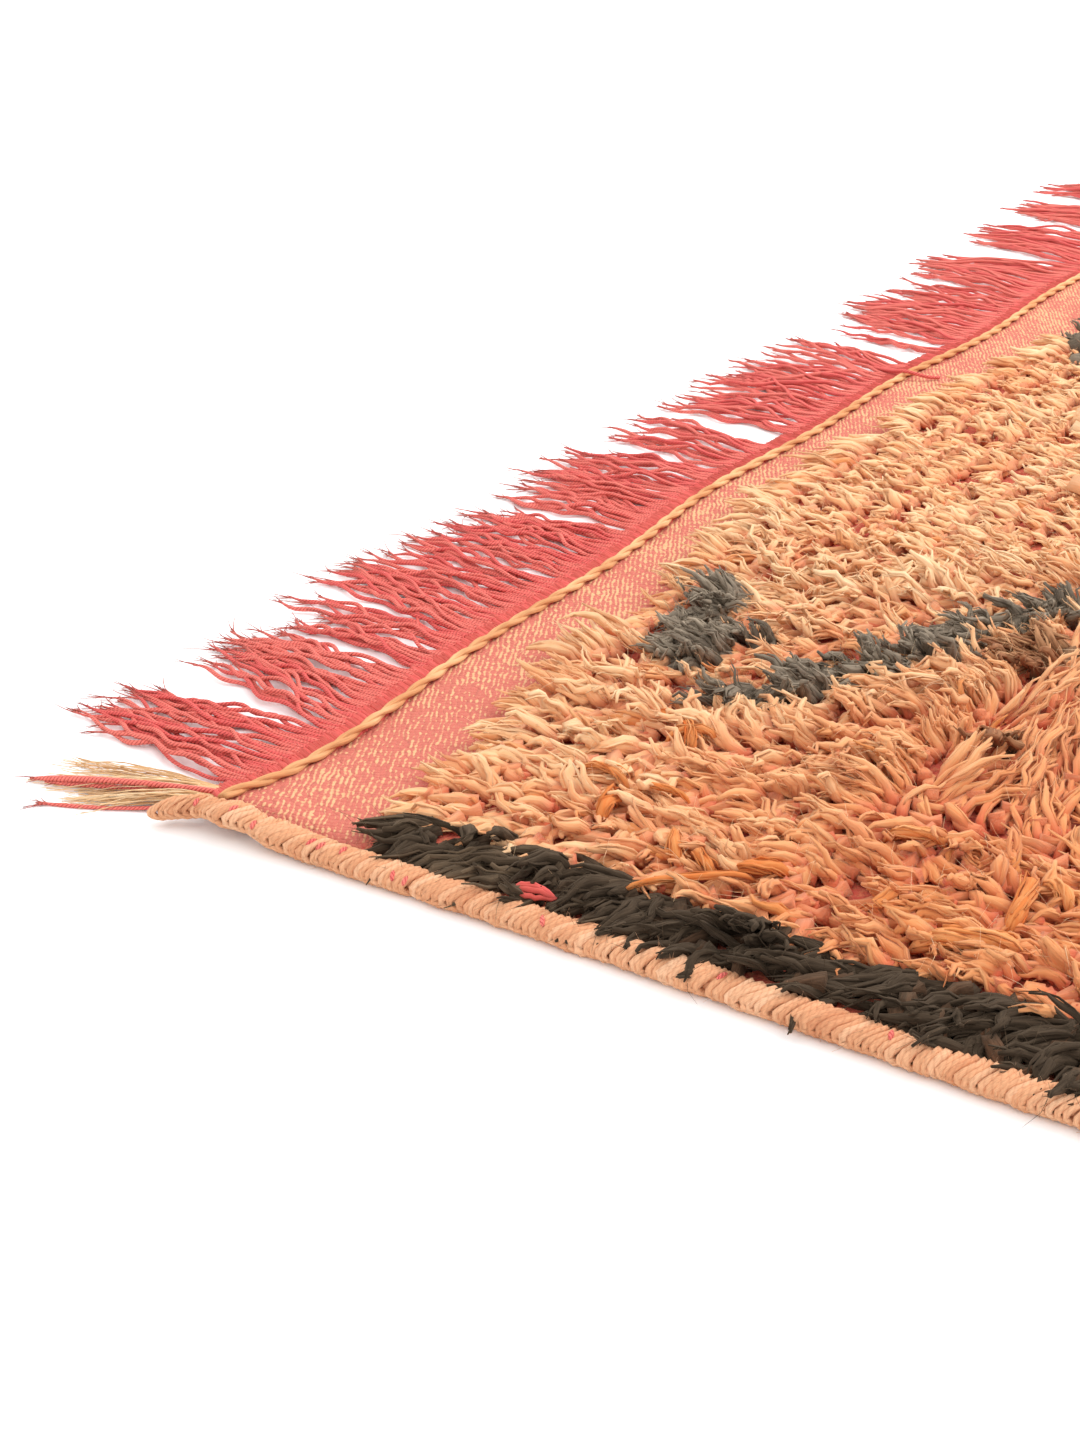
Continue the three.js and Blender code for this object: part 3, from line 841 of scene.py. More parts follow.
def zigzag_knots():
    """The knots of the zigzag before the camera, scattered evenly along its lines."""
    random = np.random.default_rng(103)
    found = []
    for line in ZIGZAG_LINES:
        for start, stop in zip(line[:-1], line[1:]):
            start, stop = np.array(start, float), np.array(stop, float)
            run = np.linalg.norm(stop - start)
            count = int(run / ZIGZAG_PITCH)
            share = scattered(random, count)
            away = random.uniform(-0.8, 0.8, (count, 1)) * ZIGZAG_HALF
            square = np.array([start[1] - stop[1], stop[0] - start[0]]) / run
            found.append(mix(start, stop, share[:, None]) + away * square)
    return np.concatenate(found).T


def in_far_zigzag(across, inset):
    """Three regular lines of dark zigzags over the rest of the rug."""
    turn = (inset - ZIGZAG_START) / ZIGZAG_PERIOD
    swing = ZIGZAG_SWING * np.abs(turn - np.round(turn)) * 2
    away = np.min([np.abs(across - swing - shift) for shift in ZIGZAG_SHIFTS], axis=0)
    drawn = (across < ZIGZAG_DRAWN_TO[0]) & (inset < ZIGZAG_DRAWN_TO[1])
    return (away < ZIGZAG_FAR_HALF) & ~drawn


def from_brown(across, inset):
    """How far each knot is outside the nearest patch of brown knots."""
    spots = [np.hypot(across - middle, inset - inwards) - half for middle, inwards, half in BROWN_SPOTS]
    return np.min(spots, axis=0)


def parted(across, inset):
    """How far the locks are combed the other way, beyond the parting near the corner."""
    begins = smooth(inset, *COMBED_FROM_INSET) * smooth(across, *COMBED_FROM_ACROSS)
    return begins * (1 - smooth(inset, *COMBED_TO_INSET)) * (1 - smooth(across, *COMBED_TO_ACROSS))


def flow(across, inset):
    """The direction in which the locks lie: towards the front left, parted and swirled near the corner."""
    turn = IMAGE_LEFT + 0.5 * drift(across, inset, 80, 21) + 0.3 * drift(across, inset, 26, 22)
    combed = np.radians(mix(*COMBED_HEADING, smooth(inset, 205, 268))) + 0.25 * drift(across, inset, 60, 23)
    turn = mix(turn, combed, parted(across, inset))
    from_x = across - SWIRL_ACROSS
    from_y = SWIRL_INSET - inset
    swirled = np.exp(-(from_x**2 + from_y**2) / SWIRL_SIZE**2)
    round_it = np.arctan2(from_y, from_x) + 0.58 * np.pi
    return turn + swirled * np.angle(np.exp(1j * (round_it - turn)))


def border_flow(across, inset):
    return IMAGE_LEFT + 0.5 + 0.3 * drift(across, inset, 50, 31)


def dye_and_painted_shade(across, inset):
    """The tone of the wool and its share of deeper orange: paler up the rug, lower and more orange at the
    near corner, where the lower tone is partly the wool's own colour and partly painted shade for the deep
    shadows between locks.
    """
    inwards = smooth(inset, *CORNER_INSET)
    # Painted shade: at the near corner the tone is lowered partly to stand for the deep shadows between the
    # locks.
    at_corner = inwards * (1 - smooth(across, 90, 370))
    tone = 0.56 + 0.16 * drift(across, inset, 60, 25) + 0.1 * smooth(across, 40, 420) - 0.36 * at_corner
    tint = 0.2 * smooth(drift(across, inset, 55, 26), 0.3, 1.2)
    return tone, tint + 0.55 * inwards * (1 - smooth(across, 110, 330))


def by_clump(group, random, spread, apart, columns=1):
    """Random numbers that the locks of a clump nearly share."""
    ids, index = np.unique(group, return_inverse=True)
    shared = random.normal(0, spread, (len(ids), columns))[index]
    return shared + random.normal(0, apart, (len(group), columns))


def grow(roots, flow, astray, rise, fall, length, stations, random, curl, group):
    """Lines that leave their roots steeply, bend over and run on along the flow. A clump curls as one."""
    t = shares(stations)
    count = len(roots)
    curl = np.broadcast_to(curl, (count,))[:, None]
    phase = by_clump(group, random, np.pi, 1.1, 4)
    waves = length[:, None] / (CURL_LENGTH * np.exp(by_clump(group, random, 0.3, 0.08, 4)))
    kink = [np.sin(2 * np.pi * waves[:, i : i + 1] * t + phase[:, i : i + 1]) for i in range(4)]
    slope = mix(rise[:, None], fall[:, None], smooth(t, -0.1, 0.75))
    slope = slope + curl * (KINK_UP * kink[0] + KINK_UP * kink[1]) * (0.2 + 0.8 * t)
    bend = by_clump(group, random, 0.5, 0.45) * t
    sway = astray[:, None] + curl * (bend + (KINK_SIDE * kink[2] + KINK_SIDE * kink[3]) * (0.3 + 0.7 * t))
    step = length / (stations - 1)
    lines = np.empty((count, stations, 3))
    lines[:, 0] = roots
    for i in range(1, stations):
        before = lines[:, i - 1]
        angle = flow(before[:, 0] + WIDTH / 2, LENGTH / 2 - before[:, 1]) + sway[:, i]
        flat = np.cos(slope[:, i])
        way = joined(flat * np.cos(angle), flat * np.sin(angle), np.sin(slope[:, i]))
        lines[:, i] = before + step[:, None] * way
    return lines


def clump(lines, group, pull):
    """Draws the lines of each group together towards their tips."""
    ids, index = np.unique(group, return_inverse=True)
    total = np.zeros((len(ids),) + lines.shape[1:])
    np.add.at(total, index, lines)
    middle = (total / np.bincount(index)[:, None, None])[index]
    return lines + (middle - lines) * pull * shares(lines.shape[1])[..., None] ** 1.2


def settle(lines, radius, pressed_above=PRESSED_ABOVE):
    """Keeps lines above what they lie on, and presses down those that stand too high."""
    beyond = lines[..., 1] > weave_end_y(lines[..., 0])
    low = np.where(beyond, 0.0, WEAVE_THICK) + radius
    settled = lines.copy()
    above = lines[..., 2] - pressed_above
    pressed = np.where(above > 0, pressed_above + PRESSED_TO * above, lines[..., 2])
    settled[..., 2] = np.maximum(pressed, low)
    return settled


def lock_radius(thick, stations, random, blunt=0.35):
    """A lock's radius: bushy at its root, uneven, and narrow at its tip."""
    t = shares(stations)
    count = len(thick)
    beat = random.uniform(1.0, 3.0, (count, 1))
    uneven = 1 + 0.13 * np.sin(2 * np.pi * beat * t + random.uniform(0, 6.3, (count, 1)))
    radius = thick[:, None] * mix(1.4, 1.0, smooth(t, 0, 0.5))
    return radius * mix(1.0, blunt, smooth(t, 0.5, 1.0)) * uneven


def part_of(lines, begin, end, stations):
    """Each line from one share of its length to another, with stations of its own."""
    held = lines.shape[1]
    at = mix(begin[:, None], end[:, None], shares(stations)) * (held - 1)
    before = np.minimum(at.astype(int), held - 2)
    first = np.take_along_axis(lines, before[..., None], axis=1)
    second = np.take_along_axis(lines, before[..., None] + 1, axis=1)
    return mix(first, second, (at - before)[..., None])


def side_strands(axis, thick, each, share, stations, random, spread=0.95, loose=1.3):
    """Strands that hug each lock and leave it at its tip. share is their radius in parts of the lock's."""
    side, up = frames(axis)
    held = axis.shape[1]
    t = shares(held)
    which = np.repeat(np.arange(len(axis)), each)
    count = len(which)
    begin = np.repeat(random.uniform(0, 2 * np.pi, len(axis)), each)
    phase = begin + np.tile(np.arange(each), len(axis)) * 2 * np.pi / each + random.normal(0, 0.4, count)
    angle = phase[:, None] + random.normal(STRAND_TWIST, 0.8, (count, 1)) * t
    leaves = random.uniform(0, 1.1, (count, 1)) * smooth(t, 0.5, 1.0)
    away = thick[which] * (spread + leaves)
    lines = axis[which] + (away * np.cos(angle))[..., None] * side[which]
    lines = lines + (away * np.sin(angle))[..., None] * up[which]
    lines = lines + random.normal(0, loose, (count, 1, 3)) * [1, 1, 0.6] * t[..., None] ** 2
    lines = part_of(lines, random.uniform(0.0, 0.25, count), random.uniform(0.8, 1.12, count), stations)
    lines = lines + random.normal(0, STRAND_CRIMP, lines.shape)
    t = shares(stations)
    radius = share * thick[which][:, [held // 3]] * mix(0.8, 1.0, smooth(t, 0, 0.3))
    radius = radius * mix(1.0, 0.3, smooth(t, 0.5, 1.0)) * near_one(random, 0.15, 0.6, 1.4, (count, 1))
    return lines, radius, which


def legs_of(across, inset, row, each, random):
    """Both legs, or more, of each knot."""
    scatter = mix(3.6, 1.2, smooth(across, *RIDGED_ACROSS)) * np.where(row < 1, 0.5, 1.0)
    across = np.repeat(across, each) + random.normal(0, 2.2, len(across) * each)
    inset = np.repeat(inset, each) + random.normal(0, 1, len(inset) * each) * np.repeat(scatter, each)
    return across, inset, np.repeat(row, each)


def roots_at(across, inset):
    y = LENGTH / 2 - inset
    left = left_x(y) + WIDTH / 2
    right = right_x(y) - WIDTH / 2
    x = across - WIDTH / 2 + left * (1 - smooth(across, 0, 200))
    x = x + right * smooth(across, WIDTH - 200, WIDTH)
    return joined(x, y, ROOT_HEIGHT)


def fuzz(tubes, lines, seed, per_line, length, tone, stations):
    """Fine stray fibres that stand off the locks."""
    random = np.random.default_rng(seed)
    count = int(len(lines) * per_line)
    which = random.integers(0, len(lines), count)
    at = random.integers(lines.shape[1] // 3, lines.shape[1], count)
    start = lines[which, at]
    way = unit(lines[which, at] - lines[which, np.maximum(at - 1, 0)])
    aim = unit(way + random.normal(0, FUZZ_STRAY, (count, 3)) + [0, 0, 0.25])
    curl = random.normal(0, 0.8, (count, 3))
    t = shares(stations)[..., None]
    reach = random.uniform(0.4, 1.4, (count, 1, 1)) * length
    strands = start[:, None] + reach * (aim[:, None] * t + curl[:, None] * t * t * 0.5)
    radius = FUZZ_THICK * mix(1.0, 0.4, t[..., 0])
    tones = random.uniform(tone - 0.15, tone + 0.25, count)
    tubes.add(settle(strands, radius), radius, 3, seed + 1, tone=tones, along=1.0)


def underwool(across, inset, way, tubes, random, seed):
    """A short, soft lock at each knot, low down, which fills the hollows between the others."""
    count = len(across)
    stations = UNDERWOOL_ALONG.shape[1]
    steady = np.ones(count)
    astray = random.normal(0, 0.6, count)
    ridged = smooth(across, *RIDGED_ACROSS)
    size = random.uniform(13, 19, count) * (1 - 0.35 * ridged)
    roots = roots_at(across, inset + random.uniform(-5, 5, count) * (1 - 0.8 * ridged))
    lines = grow(roots, way, astray, steady, 0.05 * steady, size, stations, random, 0.4, np.arange(count))
    radius = lock_radius(random.uniform(2.0, 2.8, count), stations, random, 0.4)
    tone, tint = dye_and_painted_shade(across, inset)
    lines = settle(lines, radius)
    tubes.add(lines, radius, 4, seed, tone=tone - 0.1, tint=0.5 * tint, along=UNDERWOOL_ALONG, lump=0.2)


def lock_sizes(across, inset, kind, combed, ridged, hanging, random):
    """The length and thickness of each lock: short on the ridges, at the edges and beside another colour."""
    count = len(across)
    size = kind["length"] * near_one(random, 0.17, 0.55, 1.5, count) * (1 + 0.3 * combed)
    size = size * (1 - 0.42 * ridged * (1 - hanging)) * (1 - 0.15 * hanging)
    thick = kind["thick"] * near_one(random, 0.25, 0.5, 1.6, count) * (1 - 0.25 * combed)
    if kind is BORDER_LOCKS:
        size = size * mix(0.75, 1.0, smooth(across, 4, 22)) * mix(0.7, 1.0, smooth(inset, 66, 84))
        size = size * (1 - 0.4 * peak(inset - RED_KNOT[-1][1], 3, 7))
    if kind in (PEACH_LOCKS, RIDGE_LOCKS):
        clear = np.minimum(from_zigzag(across, inset), from_brown(across, inset))
        size = size * mix(0.68, 1.0, smooth(across, 60, 170)) * mix(0.5, 1.0, smooth(clear, 0, 20))
        thick = thick * mix(1.25, 0.95, smooth(across, 60, 300))
    return size, thick


def near_locks(across, inset, row, kind, tubes, random, seed):
    """The locks of some knots before the camera, strand by strand."""
    is_peach = kind in (PEACH_LOCKS, RIDGE_LOCKS)
    way = flow if is_peach else border_flow
    knot_across, knot_inset = across, inset
    across, inset, row = legs_of(across, inset, row, kind["each"], random)
    count = len(across)
    combed = parted(across, inset) * is_peach
    ridged = smooth(across, *RIDGED_ACROSS) * is_peach
    hanging = (row < 1) * is_peach
    group = row * 1000 + np.floor((across + 7 * np.sin(row * 2.3)) / kind["group"])

    astray = by_clump(group, random, 0.15 if kind is BORDER_LOCKS else 0.3, 0.35)[:, 0]
    astray = astray * (1 - 0.6 * combed) * (1 - 0.6 * hanging) * (1 - 0.6 * ridged)
    rise = kind["rise"] + random.normal(0, 0.2, count) - 0.5 * combed + 0.15 * ridged
    fall = kind["fall"] + by_clump(group, random, 0.3, 0.15)[:, 0] * (1 - 0.7 * combed)
    fall = fall + 0.15 * drift(across, inset, 45, 24)
    fall = mix(fall, kind["fall"] + 0.25 * (1 - hanging), 0.7 * ridged)
    size, thick = lock_sizes(across, inset, kind, combed, ridged, hanging, random)
    curl = kind["curl"] * random.uniform(0.6, 1.4, count) * (1 - 0.5 * combed) * (1 - 0.6 * hanging)
    curl = curl * (1 - 0.3 * ridged) * mix(0.65, 1.0, smooth(across, 40, 220))

    # Beyond the parting the rows are less even, and at the parting the locks are short and stand up.
    inset = inset + random.normal(0, 4, count) * combed
    inset = inset - random.uniform(0, 14, count) * combed * (1 - smooth(inset, 222, 240))
    upright = peak(inset, 208, 10) * smooth(across, 110, 140) * (1 - smooth(across, 380, 480)) * is_peach
    fall = fall + 0.8 * upright
    size = size * (1 - 0.3 * upright)

    roots = roots_at(across, inset)
    axis = grow(roots, way, astray, rise, fall, size, LOCK_STATIONS, random, curl, group)
    axis = settle(clump(axis, group, kind["pull"]), thick[:, None] * 0.9)
    tone, tint = dye_and_painted_shade(across, inset)
    tone = np.minimum(tone + random.normal(0, 0.1, count), 0.92)
    tint = (tint + random.uniform(0.4, 0.8, count) * (random.random(count) < DEEP_SHARE)) * is_peach
    radius = lock_radius(thick, LOCK_STATIONS, random)
    tubes.add(axis, radius, LOCK_SIDES, seed, tone=tone, tint=tint, lump=0.14)

    beside, slim, which = side_strands(axis, radius, kind["beside"], kind["share"], SIDE_STATIONS, random)
    beside = settle(beside, slim * 0.8)
    reached = mix(0.25, 1.0, shares(SIDE_STATIONS))
    underwool(knot_across, knot_inset, way, tubes, random, seed + 4)
    strand_tone = tone[which] + random.normal(0, 0.12, len(which))
    tubes.add(beside, slim, 3, seed + 1, tone=strand_tone, tint=tint[which], along=reached)
    fuzz(tubes, axis, seed + 2, kind["fuzz"], 7, 0.85, 3)


def felted_locks():
    """Thick, smooth locks of a deeper orange that lie on top of the pile."""
    random = np.random.default_rng(150)
    tubes = Tubes()
    t = shares(FELTED_STATIONS)[0]
    oval = 1 - (2 * t - 1) ** 4
    for lock in FELTED:
        angle = np.radians(lock["heading"] + lock["turn"] * (t - 0.5))
        step = lock["length"] / (FELTED_STATIONS - 1)
        run_x, run_y = np.cumsum([np.cos(angle[1:]) * step, np.sin(angle[1:]) * step], axis=1)
        x = lock["across"] - WIDTH / 2 + np.concatenate([[0], run_x])
        y = LENGTH / 2 - lock["inset"] + np.concatenate([[0], run_y])
        z = FELTED_TOP - 0.8 * lock["thick"] - 5 * (1 - oval)
        thick = 0.78 * lock["thick"] * (0.35 + 0.65 * np.sqrt(oval)) * random.normal(1, 0.06, FELTED_STATIONS)
        line = joined(x, y, z)[None]
        tone = random.uniform(0.2, 0.8)
        tubes.add(line, thick, 8, 151, tone=tone, along=1.0, lump=0.12)
        beside, slim, which = side_strands(line, thick[None], 9, 0.3, 8, random, 1.05, 0.9)
        tubes.add(beside, slim, 3, 152, tone=tone + random.normal(0, 0.2, len(which)), along=1.0)
    tubes.finish("felted_locks", felted_wool, "peach_wool", "pile")


def near_knots(random):
    """The knots before the camera, which are in the border, and which are extra in zigzag and parting."""
    across, inset, row = knots(ROW_PITCH, KNOT_PITCH, 102)
    border = in_border(across)
    kept = is_near(across, inset) & (~border | (inset > pile_inset(across) + BORDER_START))
    across, inset, row, border = across[kept], inset[kept], row[kept], border[kept]
    inset = inset - BORDER_FORWARD * border
    parting = [random.uniform(*PARTING_ACROSS, PARTING_KNOTS), random.normal(PARTING_INSET, 6, PARTING_KNOTS)]
    extra = np.concatenate([zigzag_knots(), parting], axis=1)
    across, inset = np.concatenate([[across, inset], extra], axis=1)
    row = np.concatenate([row, np.floor(extra[1] / 8)])
    is_extra = np.arange(len(row)) >= len(border)
    border = np.concatenate([border, np.zeros(extra.shape[1], bool)])
    return across, inset, row, border, is_extra


def near_pile():
    """The pile before the camera, lock by lock, in four colours."""
    random = np.random.default_rng(101)
    across, inset, row, border, is_extra = near_knots(random)
    on_zigzag = from_zigzag(across, inset) < 0
    brown = (from_brown(across, inset) < 0) & ~border
    dark = (in_far_zigzag(across, inset) | (on_zigzag & is_extra)) & ~border & ~brown
    peach = ~(dark | brown | border | on_zigzag)
    front = peach & (inset <= BACK_INSET)
    back = peach & (inset > BACK_INSET)
    ridges = across > RIDGES_ACROSS
    inner = across > INNER_ACROSS
    kinds = [
        ("pile_front_peach", front & ~ridges, PEACH_LOCKS, peach_wool, "peach_wool", "pile"),
        ("pile_ridges_peach", front & ridges, RIDGE_LOCKS, peach_wool, "peach_wool", "pile"),
        ("pile_corner_peach", back & ~inner, PEACH_LOCKS, peach_wool, "peach_wool", "pile"),
        ("pile_inner_peach", back & inner, PEACH_LOCKS, peach_wool, "peach_wool", "pile"),
        ("zigzag_front", dark, ZIGZAG_LOCKS, zigzag_wool, "dark_wool", "pile"),
        ("border_front_left", border, BORDER_LOCKS, dark_wool, "dark_wool", "border_left"),
        ("brown_knots", brown, BROWN_LOCKS, brown_wool, "peach_wool", "pile"),
    ]
    for index, (name, chosen, kind, material, slot, node) in enumerate(kinds):
        tubes = Tubes()
        near_locks(across[chosen], inset[chosen], row[chosen], kind, tubes, random, 200 + 10 * index)
        tubes.finish(name, material, slot, node)


def far_knots(row_pitch, pitch, seed, bordering):
    """The knots away from the camera, of the borders or of the field between them."""
    across, inset, _ = knots(row_pitch, pitch, seed)
    kept = ~is_near(across, inset) & (in_border(across) == bordering)
    return np.array([across[kept], inset[kept]])


def far_locks(across, inset, is_peach, is_border, tubes, random, seed):
    """Thick locks with flat sides, one to a knot, sunk into the pile so that they don't stand too high."""
    count = len(across)
    astray = random.normal(0, 0.5, count)
    rise = 1.2 + random.normal(0, 0.15, count) - 0.3 * is_border
    fall = 0.1 + 0.2 * drift(across, inset, 45, 24) + random.normal(0, 0.15, count)
    at_side = np.abs(across - WIDTH / 2) > WIDTH / 2 - 40
    size = FAR_LENGTH * near_one(random, 0.15, 0.6, 1.4, count) * np.where(at_side, 0.7, 1.0)
    size = size * mix(0.6, 1.0, smooth(across, 6, 28))
    roots = roots_at(across, inset)
    lines = grow(roots, flow, astray, rise, fall, size, FAR_STATIONS, random, 0.5, np.arange(count))
    radius = lock_radius(FAR_THICK * near_one(random, 0.15, 0.7, 1.4, count), FAR_STATIONS, random, 0.65)
    lines = settle(lines, radius * FAR_SUNK, FAR_PRESSED_ABOVE)
    tone, tint = dye_and_painted_shade(across, inset)
    tone = tone + 0.12 * drift(across, inset, 330, 27) + random.normal(0, 0.13, count)
    tint = (tint + 0.7 * (random.random(count) < DEEP_SHARE)) * is_peach
    tubes.add(lines, radius, 3, seed, tone=tone, tint=tint, along=FAR_ALONG, lump=0.2)


def far_pile():
    """The rest of the pile, with fewer and thicker locks."""
    random = np.random.default_rng(401)
    field = far_knots(FAR_ROW_PITCH, FAR_KNOT_PITCH, 402, False)
    edges = far_knots(FAR_BORDER_ROWS, FAR_BORDER_PITCH, 403, True)
    across, inset = np.concatenate([field, edges], axis=1)
    border = in_border(across)
    dark = in_far_zigzag(across, inset) & ~border
    peach = ~(dark | border)
    front = inset < LENGTH / 2
    left = across < WIDTH / 2
    kinds = [
        ("pile_peach_front", peach & front, peach_wool, "peach_wool", "pile"),
        ("pile_peach_back", peach & ~front, peach_wool, "peach_wool", "pile"),
        ("zigzag_rest", dark, zigzag_wool, "dark_wool", "pile"),
        ("border_rest_left", border & left, dark_wool, "dark_wool", "border_left"),
        ("border_right_side", border & ~left, dark_wool, "dark_wool", "border_right"),
    ]
    for index, (name, chosen, material, slot, node) in enumerate(kinds):
        tubes = Tubes()
        is_peach = slot == "peach_wool"
        far_locks(across[chosen], inset[chosen], is_peach, node != "pile", tubes, random, 420 + index)
        tubes.finish(name, material, slot, node)


# Ends.


def cord_lines(pitch, side):
    """The two plies of the twined cord. side is 1 at the front end and -1 at the back."""
    x = np.arange(end_x(0) + 1, end_x(1) - 1, pitch)
    y = LENGTH / 2 - cord_inset(x + WIDTH / 2)
    turn = np.pi * x / CORD_CROSSING + 0.7 * np.sin(x / 53)
    plies = []
    for phase in (0, np.pi):
        out = 1.0 * np.cos(turn + phase)
        up = 0.85 * np.sin(turn + phase)
        plies.append(joined(x * side, (y + out) * side, WEAVE_THICK + 1.6 + up))
    return np.array(plies)


def twined_cord(name, node, side, pitch, sides):
    random = np.random.default_rng(61)
    lines = cord_lines(pitch, side)
    run = np.arange(lines.shape[1])[None, :] * pitch
    radius = 1.2 + 0.1 * drift(run, 0, 9, 64) + random.normal(0, 0.03, lines.shape[:2])
    tubes = Tubes()
    tubes.add(lines, radius, sides, 62, tone=0.5 + 0.3 * drift(run, 0, 40, 65), lump=0.05)
    tubes.finish(name, ochre_yarn, "twined_cord", node)


def strip_ribs(side, pitch):
    """The red strip beyond the cord: slanted ribs side by side."""
    starts = np.arange(end_x(0) + 2, end_x(1) - 9, pitch)[:, None]
    random = np.random.default_rng(71)
    t = shares(6)
    x = starts + 8.0 * t + random.normal(0, 0.3, starts.shape)
    y = mix(weave_end_y(x) - 2.6, strip_root_y(x) + 0.8, t)
    z = 1.7 + 1.0 * np.sin(np.pi * np.clip(t * 0.9 + 0.25, 0, 1)) + random.normal(0, 0.12, starts.shape)
    return joined(x * side, y * side, z)


def bunch_lines(bunch, side, pitch, stations, random, across_from, across_to):
    """The yarns of one bunch of the fringe whose roots are between two distances across."""
    root_from, root_to = bunch["root"]
    share = scattered(random, max(3, int(round((root_to - root_from) / pitch))))
    root = mix(root_from, root_to, share)
    kept = (root >= across_from) & (root < across_to)
    share, root = share[kept], root[kept]
    count = len(root)
    if count == 0:
        return np.empty((0, stations, 3))
    tip_share = np.clip(share + random.normal(0, 0.18, count), -0.05, 1.05)
    fingers = max(2, int((root_to - root_from) / FINGER_PITCH))
    finger = (np.floor(tip_share * fingers) + 0.5) / fingers
    tip = mix(*bunch["tip"], mix(tip_share, finger, 0.55))
    at_edge = np.abs(2 * share - 1) ** 3
    reach = bunch["reach"] * mix(1.0, 0.84, at_edge) * random.normal(0.92, 0.11, count).clip(0.5, 1.05)
    layer = random.integers(0, 3, count)
    wander = random.uniform(0, 2 * np.pi, (count, 3))
    t = shares(stations)

    def waving(least, most, phase):
        return np.sin(2 * np.pi * random.uniform(least, most, (count, 1)) * t + wander[:, [phase]])

    long_wave = waving(0.5, 1.2, 0)
    short_wave = waving(2.0, 4.2, 1)
    x = mix(root[:, None], tip[:, None], smooth(t)) - WIDTH / 2
    x = x + (3.4 * long_wave + 1.8 * short_wave) * smooth(t, 0, 0.5)
    base = strip_root_y(root - WIDTH / 2)[:, None] - random.uniform(2, 5, (count, 1))
    y = mix(base, LENGTH / 2 + reach[:, None], t) + 0.8 * short_wave * t
    height = (layer * 1.5)[:, None] * np.sin(np.pi * np.clip(t * 1.15, 0, 1)) ** 0.7 + 1.1
    height = height + 0.9 * np.abs(waving(0.5, 1.5, 2)) * smooth(t, 0.1, 0.4)
    return joined(x * side, y * side, mix(2.7, height, smooth(t, 0, 0.22)))


def fringe_lines(side, pitch, stations, random, across_from=0, across_to=WIDTH):
    """Yarns of the fringe, bunch by bunch."""
    wanted = (side, pitch, stations, random, across_from, across_to)
    return np.concatenate([bunch_lines(bunch, *wanted) for bunch in BUNCHES])


def yarn_radius(count, stations, random, thick):
    shape = mix(1.0, 0.4, smooth(shares(stations), 0.86, 1.0))
    return thick * near_one(random, 0.08, 0.8, 1.25, (count, 1)) * shape


def tip_wisps(tubes, lines, seed, each, thick=0.36):
    """Frayed ends."""
    random = np.random.default_rng(seed)
    which = np.repeat(np.arange(len(lines)), each)
    count = len(which)
    start = lines[which, -2]
    way = unit(lines[which, -1] - lines[which, -3])
    aim = way + random.normal(0, 0.16, (count, 3)) * [1, 1, 0.3]
    curl = random.normal(0, 0.25, (count, 3)) * [1, 1, 0.2]
    t = shares(4)[..., None]
    reach = random.uniform(4, 11, (count, 1, 1))
    strands = start[:, None] + reach * (aim[:, None] * t + curl[:, None] * t * t)
    radius = thick * mix(1.0, 0.3, t[..., 0])
    strands[..., 2] = np.maximum(strands[..., 2], radius + 0.1)
    tubes.add(strands, radius, 3, seed + 1, tone=random.uniform(0.4, 0.9, count), along=1.0)


def smooth_line(points, stations):
    """A curve through (across, inset, height) points, as a line of the rug."""
    points = np.array(points, float)
    held = np.arange(len(points))
    at = np.linspace(0, len(points) - 1, 4 * stations)
    dense = joined(*(np.interp(at, held, values) for values in points.T))
    for _ in range(stations):
        dense[1:-1] = (dense[:-2] + 2 * dense[1:-1] + dense[2:]) / 4
    dense = dense[np.linspace(0, len(dense) - 1, stations).round().astype(int)]
    return joined(dense[:, 0] - WIDTH / 2, LENGTH / 2 - dense[:, 1], dense[:, 2])


def fringe_front():
    random = np.random.default_rng(501)
    ribs = strip_ribs(1, 1.7)
    tone = random.uniform(0.3, 0.8, len(ribs))
    strip = Tubes()
    close = ribs[:, 0, 0] < -230
    for chosen, sides, seed, lump in ((close, 5, 502, 0.16), (~close, 4, 503, 0.1)):
        strip.add(ribs[chosen], 1.5, sides, seed, tone=tone[chosen], along=1.0, lump=lump)
    strip.finish("red_strip_front", red_felt, "red_fringe", "fringe_front")
    near = Tubes()
    far = Tubes()
    for tubes, pitch, stations, sides, start, stop, wisps in (
        (near, 1.85, 28, 5, 0, 350, 4),
        (far, 2.4, 17, 4, 350, 800, 3),
        (far, 3.0, 12, 4, 800, WIDTH, 2),
    ):
        lines = fringe_lines(1, pitch, stations, random, start, stop)
        radius = yarn_radius(len(lines), stations, random, 0.94)
        tone = random.normal(0.55, 0.18, len(lines))
        tubes.add(lines, radius, sides, 510 + stations, tone=tone, lump=0.08)
        tip_wisps(tubes, lines, 520 + stations, wisps)
    far.add(smooth_line(STRAY_YARN, STRAY_STATIONS)[None], 1.0, 5, 530, tone=0.4, lump=0.08)
    near.finish("fringe_front_left", red_yarn, "red_fringe", "fringe_front")
    far.finish("fringe_front_rest", red_yarn, "red_fringe", "fringe_front")


def fringe_back():
    random = np.random.default_rng(551)
    tubes = Tubes()
    ribs = strip_ribs(-1, 3.4)
    tubes.add(ribs, 2.2, 4, 552, tone=random.uniform(0.35, 0.75, len(ribs)))
    lines = fringe_lines(-1, 4.4, 9, random)
    radius = yarn_radius(len(lines), 9, random, 1.35)
    tubes.add(lines, radius, 4, 553, tone=random.normal(0.5, 0.16, len(lines)))
    tip_wisps(tubes, lines, 554, 1, 0.5)
    tubes.finish("fringe_back_yarns", red_yarn, "red_fringe", "fringe_back")


